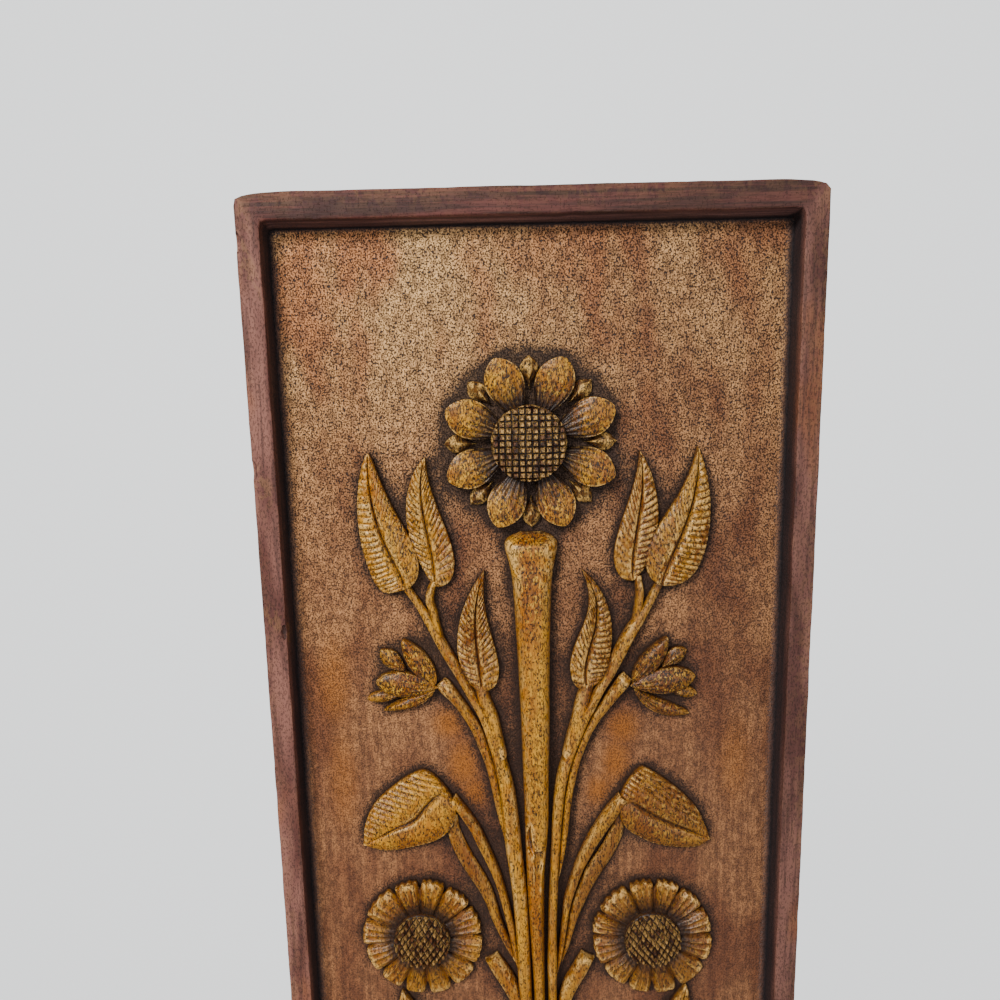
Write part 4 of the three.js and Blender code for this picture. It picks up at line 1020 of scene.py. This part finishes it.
def mark_surface(piece):
    """Stores what the finish needs to know at each corner: where it is, how far it stands out for wear and
    painted highlights, and how sunk for stain and painted shade.
    """
    mesh = piece.data
    corners = np.zeros(len(mesh.vertices) * 3)
    mesh.vertices.foreach_get("co", corners)
    corners = corners.reshape(-1, 3) / MM
    normals = np.zeros(len(mesh.vertices) * 3)
    mesh.vertices.foreach_get("normal", normals)
    normals = normals.reshape(-1, 3)
    x, y, z = corners[:, 0], corners[:, 2], -corners[:, 1] - GROUND_THICKNESS
    xs, ys, heights = height_map(piece)
    near = look_up(gaussian(heights, 2), xs, ys, x, y) - z
    inside = (np.abs(xs)[None, :] < FIELD_WIDTH / 2 - 2) & (np.abs(ys)[:,
    None] < FIELD_HEIGHT / 2 - END_DRAFT - 2)
    bunch = look_up(gaussian(np.where(inside & (heights > 1.5), 1.0, 0.0), 8), xs, ys, x, y)
    to_wall = np.minimum(FIELD_WIDTH / 2 - SIDE_DRAFT - np.abs(x), FIELD_HEIGHT / 2 - END_DRAFT - np.abs(y))
    in_field = (to_wall > FIELD_MARGIN) | ((to_wall > 1.2) & (z < RECESS_DEPTH - 0.8))
    border = 1.0 - in_field
    rails = step(-1.5, 1.5, (PANEL_WIDTH / 2 - np.abs(x)) - (PANEL_HEIGHT / 2 - np.abs(y))) * border
    # The border's inner wall takes painted shade, all the way down along the sides and near its foot along the
    # ends, whose upper wall is painted lighter instead
    inward = border * step(RECESS_DEPTH - 0.6, RECESS_DEPTH - 3, z) * (to_wall > -3.2)
    shoulder = inward * rails * step(2.5, 6, z)
    wall = inward * (1 - rails * step(2.5, 6, z))
    to_end = FIELD_HEIGHT / 2 - END_DRAFT - np.abs(y)
    raised = step(0.7, 1.7, z) * in_field
    out = bulge(mesh, corners, normals)
    discs = np.zeros(len(x))
    bases = np.zeros(len(x))
    crowns = np.zeros(len(x))
    flowers = [(SUNFLOWER["disc_centre"], SUNFLOWER["disc"], SUNFLOWER["tip"], SUNFLOWER["disc_lift"],
                SUNFLOWER["dome"])]
    flowers += [(flower["disc"], DAISY["disc"], DAISY["rim"], DAISY["disc_lift"],
                 DAISY["dome"]) for flower in DAISIES]
    for centre, radius, rim, lift, dome in flowers:
        middle = place(*centre)
        out_from = np.hypot(x - middle[0], y - middle[1])
        disc = step(1.04 * radius, 0.97 * radius, out_from)
        discs = np.maximum(discs, disc)
        crowns = np.maximum(crowns,
                            disc * step(1.1, 1.9, z - (lift - SEED_DROP - dome * (out_from / radius) ** 2)))
        bases = np.maximum(bases, step(radius + 0.6 * (rim - radius), radius, out_from))
    discs *= in_field
    bases *= in_field * (1 - discs)
    sun = place(*SUNFLOWER["centre"])
    from_sun = np.hypot(x - sun[0], y - sun[1])
    halo = step(SUNFLOWER["tip"] + HALO_REACH, SUNFLOWER["tip"] - HALO_OVERLAP,
                from_sun) * in_field * (1 - raised)
    low = step(SUNFLOWER["sepal_lift"] + 1, SUNFLOWER["sepal_lift"] - 0.5, z)
    sepals = low * (from_sun < SUNFLOWER["tip"] + 1) * raised
    marks = {
        "border": border,
        "raised": raised,
        "wall": wall,
        "shoulder": shoulder,
        # hollow, shelter, rim and halo mark where the colour is darkened, partly as stain and partly as
        # painted shade; ridge marks where it is lightened, partly as wear and partly as painted highlight
        "hollow": np.clip(near / 4.5, 0, 1) * (1 - border),
        "shelter": np.clip(bunch * 2.2, 0, 1) * (1 - border) * (1 - raised),
        "rim": np.exp(-np.maximum(to_wall - 1, 0) / np.where(to_end > to_wall + 1, 3.6, 1.2)) * in_field,
        "crown": crowns * in_field,
        "sepal": sepals,
        "pitted": np.clip(spots(x, y, PITTED_PARTS), 0, 1) * raised,
        "ridge": np.clip(out * 6, 0, 1),
        "groove": np.clip(-out * 6, 0, 1),
        "rise": np.clip(z / 12.5, 0, 1),
        "disc": discs,
        "base": bases,
        "halo": halo,
        "rail": rails,
        "aged": spots(x, y, AGED_PARTS) * raised,
        "gold": spots(x, y, GOLDEN_PATCHES) * in_field * (1 - raised),
    }
    for name, values in marks.items():
        mesh.attributes.new(name, "FLOAT", "POINT").data.foreach_set("value", values.astype(np.float32))


# Finishes

def tone(red, green, blue):
    """A finish colour from its 0 to 255 screen values."""
    def linear(value):
        share = value / 255
        return share / 12.92 if share <= 0.04045 else ((share + 0.055) / 1.055) ** 2.4

    return (linear(red), linear(green), linear(blue), 1.0)


class Finish(Nodes):
    """A material of one Principled surface."""

    def __init__(self, name):
        self.material = bpy.data.materials.new(name)
        self.material.use_nodes = True
        super().__init__(self.material.node_tree)
        self.tree.nodes.clear()
        self.place = self.node("ShaderNodeTexCoord", output="Object")

    def mark(self, name):
        return self.node("ShaderNodeAttribute", {"attribute_name": name}, output="Fac")

    def stretched(self, scale):
        return self.node("ShaderNodeMapping", None, {"Vector": self.place, "Scale": scale})

    def noise(self, scale, detail, roughness):
        return self.node("ShaderNodeTexNoise", None, {
            "Vector": self.stretched(scale), "Scale": 1.0, "Detail": detail, "Roughness": roughness})

    def mix(self, share, below, above):
        return self.node("ShaderNodeMix", {"data_type": "RGBA"}, {0: share, 6: below, 7: above}, 2)

    def surface(self, **sockets):
        shader = self.node("ShaderNodeBsdfPrincipled", None,
                           {key.replace("_", " "): value for key, value in sockets.items()})
        self.node("ShaderNodeOutputMaterial", None, {"Surface": shader})
        return self.material


def carved_wood():
    f = Finish("carved wood")
    border, wall, rail, raised = f.mark("border"), f.mark("wall"), f.mark("rail"), f.mark("raised")
    disc, base, aged = f.mark("disc"), f.mark("base"), f.mark("aged")
    hollow, shelter, rim, halo = f.mark("hollow"), f.mark("shelter"), f.mark("rim"), f.mark("halo")
    ridge, groove, rise, gold = f.mark("ridge"), f.mark("groove"), f.mark("rise"), f.mark("gold")
    sepal, pitted, crown, shoulder = f.mark("sepal"), f.mark("pitted"), f.mark("crown"), f.mark("shoulder")
    ground = (1 - border) * (1 - raised)
    height = f.node("ShaderNodeSeparateXYZ", None, {0: f.place}, "Z")
    upper = height.rise(0.0, 0.28)
    top = height.rise(0.2, 0.36)
    across = f.node("ShaderNodeSeparateXYZ", None, {0: f.place}, "X")
    # A ramp from left to right, carrying painted shade on the plaque's right side
    shade_rightward = across.rise(-0.12, 0.13)

    # The wood itself: fibres up the plank, open pores, and slow changes of tone
    fibres = f.noise((1500, 1500, 70), 2, 0.6)
    figure = f.noise((75, 75, 14), 2, 0.62)
    patches = f.noise((26, 26, 12), 2, 0.62)
    mottle = f.noise((230, 230, 150), 2, 0.7)
    glints = f.noise((420, 420, 260), 2, 0.75)
    pores = f.noise((1100, 1100, 420), 1, 0.55)
    flecks = f.noise((1100, 1100, 520), 2, 0.74)
    specks = f.noise((640, 640, 560), 2, 0.68)
    grain = f.noise((1150, 1150, 950), 2, 0.8)
    streaks = f.noise((420, 420, 22), 2, 0.7)
    rail_streaks = f.noise((14, 300, 420), 2, 0.62)

    # The punched ground: small round dints, sharper in the upper half than low down
    flat = f.node("ShaderNodeCombineXYZ", None, {"X": across * 1080, "Y": height * 950})
    dints = f.node("ShaderNodeTexVoronoi", {"feature": "F1", "voronoi_dimensions": "2D"},
                   {"Vector": flat, "Scale": 1.0})
    punched = (dints * -0.7 + grain * 1.5).rise(0.52, 0.12)
    dinted = punched * (0.4 + 0.6 * upper)

    golden = f.mix(figure.rise(0.34, 0.64), tone(180, 106, 8), tone(234, 166, 40))
    golden = f.mix(mottle.rise(0.42, 0.62) * (0.35 + 0.5 * pitted), golden, tone(96, 52, 14))
    golden = f.mix(fibres.rise(0.42, 0.7) * 0.55, golden, tone(136, 76, 14))
    golden = f.mix(aged * 0.8, golden, tone(122, 66, 18))
    golden = f.mix(glints.rise(0.52, 0.66) * (0.2 + 0.75 * pitted), golden, tone(250, 190, 66))
    golden = f.mix((1 - rise.rise(0.2, 0.75)) * 0.55, golden, tone(104, 54, 18))
    golden = f.mix((base * 0.9 + sepal * 0.65) * (0.55 + 0.9 * specks), golden, tone(50, 30, 16))
    field = f.mix(patches.rise(0.36, 0.62), tone(144, 88, 50), tone(216, 152, 96))
    pale = f.mix(patches.rise(0.36, 0.6), tone(214, 140, 84), tone(255, 200, 130))
    # The field is paler towards the top, less so to the right, where painted shade takes over
    field = f.mix(top * (1 - shade_rightward * 0.55), field, pale)
    field = f.mix((1 - upper) * 0.45, field, tone(134, 80, 54))
    field = f.mix(mottle.rise(0.4, 0.62) * 0.5, field, tone(88, 50, 30))
    field = f.mix(streaks.rise(0.42, 0.66) * (1 - upper) * 0.5, field, tone(94, 54, 34))
    field = f.mix(gold * 0.8, field, tone(182, 106, 24))
    field = f.mix(dinted, field, tone(42, 21, 13))
    edge = f.mix(figure.rise(0.34, 0.64), tone(94, 52, 44), tone(146, 96, 82))
    edge = f.mix(patches.rise(0.52, 0.66) * 0.6, edge, tone(152, 88, 50))
    edge = f.mix(streaks.rise(0.48, 0.66) * 0.6 * (1 - rail), edge, tone(70, 40, 34))
    edge = f.mix(rail * 0.92, edge, f.mix(rail_streaks.rise(0.36, 0.66), tone(50, 24, 20), tone(104, 54, 46)))
    seeds = f.mix(crown * (0.1 + 1.1 * glints), tone(46, 24, 12), tone(122, 72, 36))

    colour = f.mix(raised, field, golden)
    colour = f.mix(disc, colour, seeds)
    colour = f.mix(border, colour, edge)
    # Painted shade: the whole plaque is darker on its right side
    colour = f.mix(shade_rightward * (0.22 + 0.1 * raised + 0.12 * border), colour, tone(52, 32, 26))
    # Hollows, grooves, the ground among the carving, the field's edge along the border and the ring round the
    # sunflower are darkened: partly dark stain and partly painted shade
    near = hollow * 0.45 + shelter * 1.0
    near = near + halo * (0.35 + 0.65 * patches.rise(0.34, 0.6)) + rim * 0.48 + groove * 0.7
    stain_and_shade = near * (0.35 + 1.35 * specks) * (1 - ground * (0.42 - 0.42 * punched))
    shade_and_soot = f.mix(rim.rise(0.05, 0.5), tone(44, 27, 18), tone(112, 92, 86))
    colour = f.mix(stain_and_shade.rise(0.12, 1.05) * 0.92, colour, shade_and_soot)
    # Painted shade on the border's inner wall
    colour = f.mix(wall * (0.65 + 0.4 * specks), colour, tone(26, 24, 28))
    # Painted light: the upper inner wall along both ends gets a tone lighter than the rail's
    colour = f.mix(shoulder * 0.8, colour,
                   f.mix(rail_streaks.rise(0.36, 0.66), tone(96, 68, 66), tone(150, 112, 106)))
    # Ridges are lighter: partly wear and partly painted highlight
    wear_and_highlight = ridge.rise(0.15, 0.8) * (0.1 + 0.9 * raised) * mottle.rise(0.4, 0.56)
    wear_and_highlight = wear_and_highlight * (1 - base * 0.4) * (1 - aged * 0.4) * (1 - disc * 0.3)
    colour = f.mix(wear_and_highlight * 0.8, colour, tone(246, 194, 108))
    pores = pores * (1 - rail) + f.noise((150, 1300, 1300), 1, 0.6) * rail
    holes = flecks.rise(0.595 - pitted * 0.085, 0.645 - pitted * 0.08) * (raised * 0.95 + border * 0.45)
    dots = f.math("MAXIMUM", pores.rise(0.56, 0.64) * (0.3 + raised * 0.4 + border * 0.15 - rail * 0.2),
                  holes)
    colour = f.mix(dots, colour, tone(30, 16, 8))

    roughness = 0.56 + border * 0.14 - raised * 0.16 - wear_and_highlight * 0.08 + stain_and_shade.rise(0.1, 1) * 0.1
    relief = dinted * -0.8 * ground - dots * 0.4 + mottle * raised * 0.35
    bump = f.node("ShaderNodeBump", None, {"Strength": 1.0, "Distance": 0.0009, "Height": relief})
    return f.surface(Base_Color=colour, Roughness=roughness, Normal=bump, Specular_IOR_Level=0.4)


def plain(name, colour, roughness, glow):
    f = Finish(name)
    return f.surface(Base_Color=colour, Roughness=roughness, Emission_Color=colour, Emission_Strength=glow)


# The plaque

SHARP_ANGLE = 48

wood = carved_wood()
plaque = carve(SeedTree(wood))
plaque.name = "carved_plaque"
plaque.data.name = "carved_plaque"
plaque.data.materials.clear()
plaque.data.materials.append(wood)
plaque.data.polygons.foreach_set("use_smooth", np.ones(len(plaque.data.polygons), bool))
plaque.data.set_sharp_from_angle(angle=math.radians(SHARP_ANGLE))
mark_surface(plaque)
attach(plaque, "root")
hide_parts("carved_panel")

# The pale backdrop, far enough behind to see the back too, the light and the camera

BACKDROP_HALF = 4.0
BACKDROP_BEHIND = 2.5

backdrop_mesh = bpy.data.meshes.new("backdrop")
backdrop_corners = [(right * BACKDROP_HALF, BACKDROP_BEHIND, up * BACKDROP_HALF)
                    for right, up in ((-1, -1), (1, -1), (1, 1), (-1, 1))]
backdrop_mesh.from_pydata(backdrop_corners, [], [(0, 1, 2, 3)])
backdrop = bpy.data.objects.new("backdrop", backdrop_mesh)
bpy.context.collection.objects.link(backdrop)
backdrop_mesh.materials.append(plain("pale wall", (0.93, 0.94, 0.935, 1), 0.85, 1.1))


def soft_light(name, place_at, aim, size, power, colour):
    lamp = bpy.data.lights.new(name, "AREA")
    lamp.shape = "RECTANGLE"
    lamp.size, lamp.size_y = size
    lamp.energy = power
    lamp.color = colour
    light = bpy.data.objects.new(name, lamp)
    light.location = place_at
    light.rotation_euler = (Vector(aim) - Vector(place_at)).to_track_quat("-Z", "Y").to_euler()
    bpy.context.collection.objects.link(light)


soft_light("key light", (-1.0, -1.8, 1.5), (0, 0, 0.1), (0.7, 0.6), 58, (1.0, 0.99, 0.97))
soft_light("front light", (0.3, -2.4, 0.3), (0, 0, 0), (2.4, 2.0), 22, (1.0, 1.0, 1.0))

world = bpy.data.worlds.new("studio")
bpy.context.scene.world = world
world.use_nodes = True
world.node_tree.nodes["Background"].inputs[0].default_value = (0.9, 0.93, 1.0, 1)
world.node_tree.nodes["Background"].inputs[1].default_value = 0.35

EYE = Vector((-0.0143, -0.4327, 0.2832))
CAMERA_RIGHT = Vector((0.9997, 0.0083, -0.0212))
CAMERA_UP = Vector((0.0197, 0.1576, 0.9873))
camera = bpy.data.cameras.new("camera")
camera.sensor_width = 36
camera.lens = 27.04
camera_object = bpy.data.objects.new("camera", camera)
back = CAMERA_RIGHT.cross(CAMERA_UP).normalized()
turn = Matrix((CAMERA_RIGHT, CAMERA_UP, back)).transposed()
camera_object.matrix_world = Matrix.Translation(EYE) @ turn.to_4x4()
bpy.context.collection.objects.link(camera_object)
bpy.context.scene.camera = camera_object
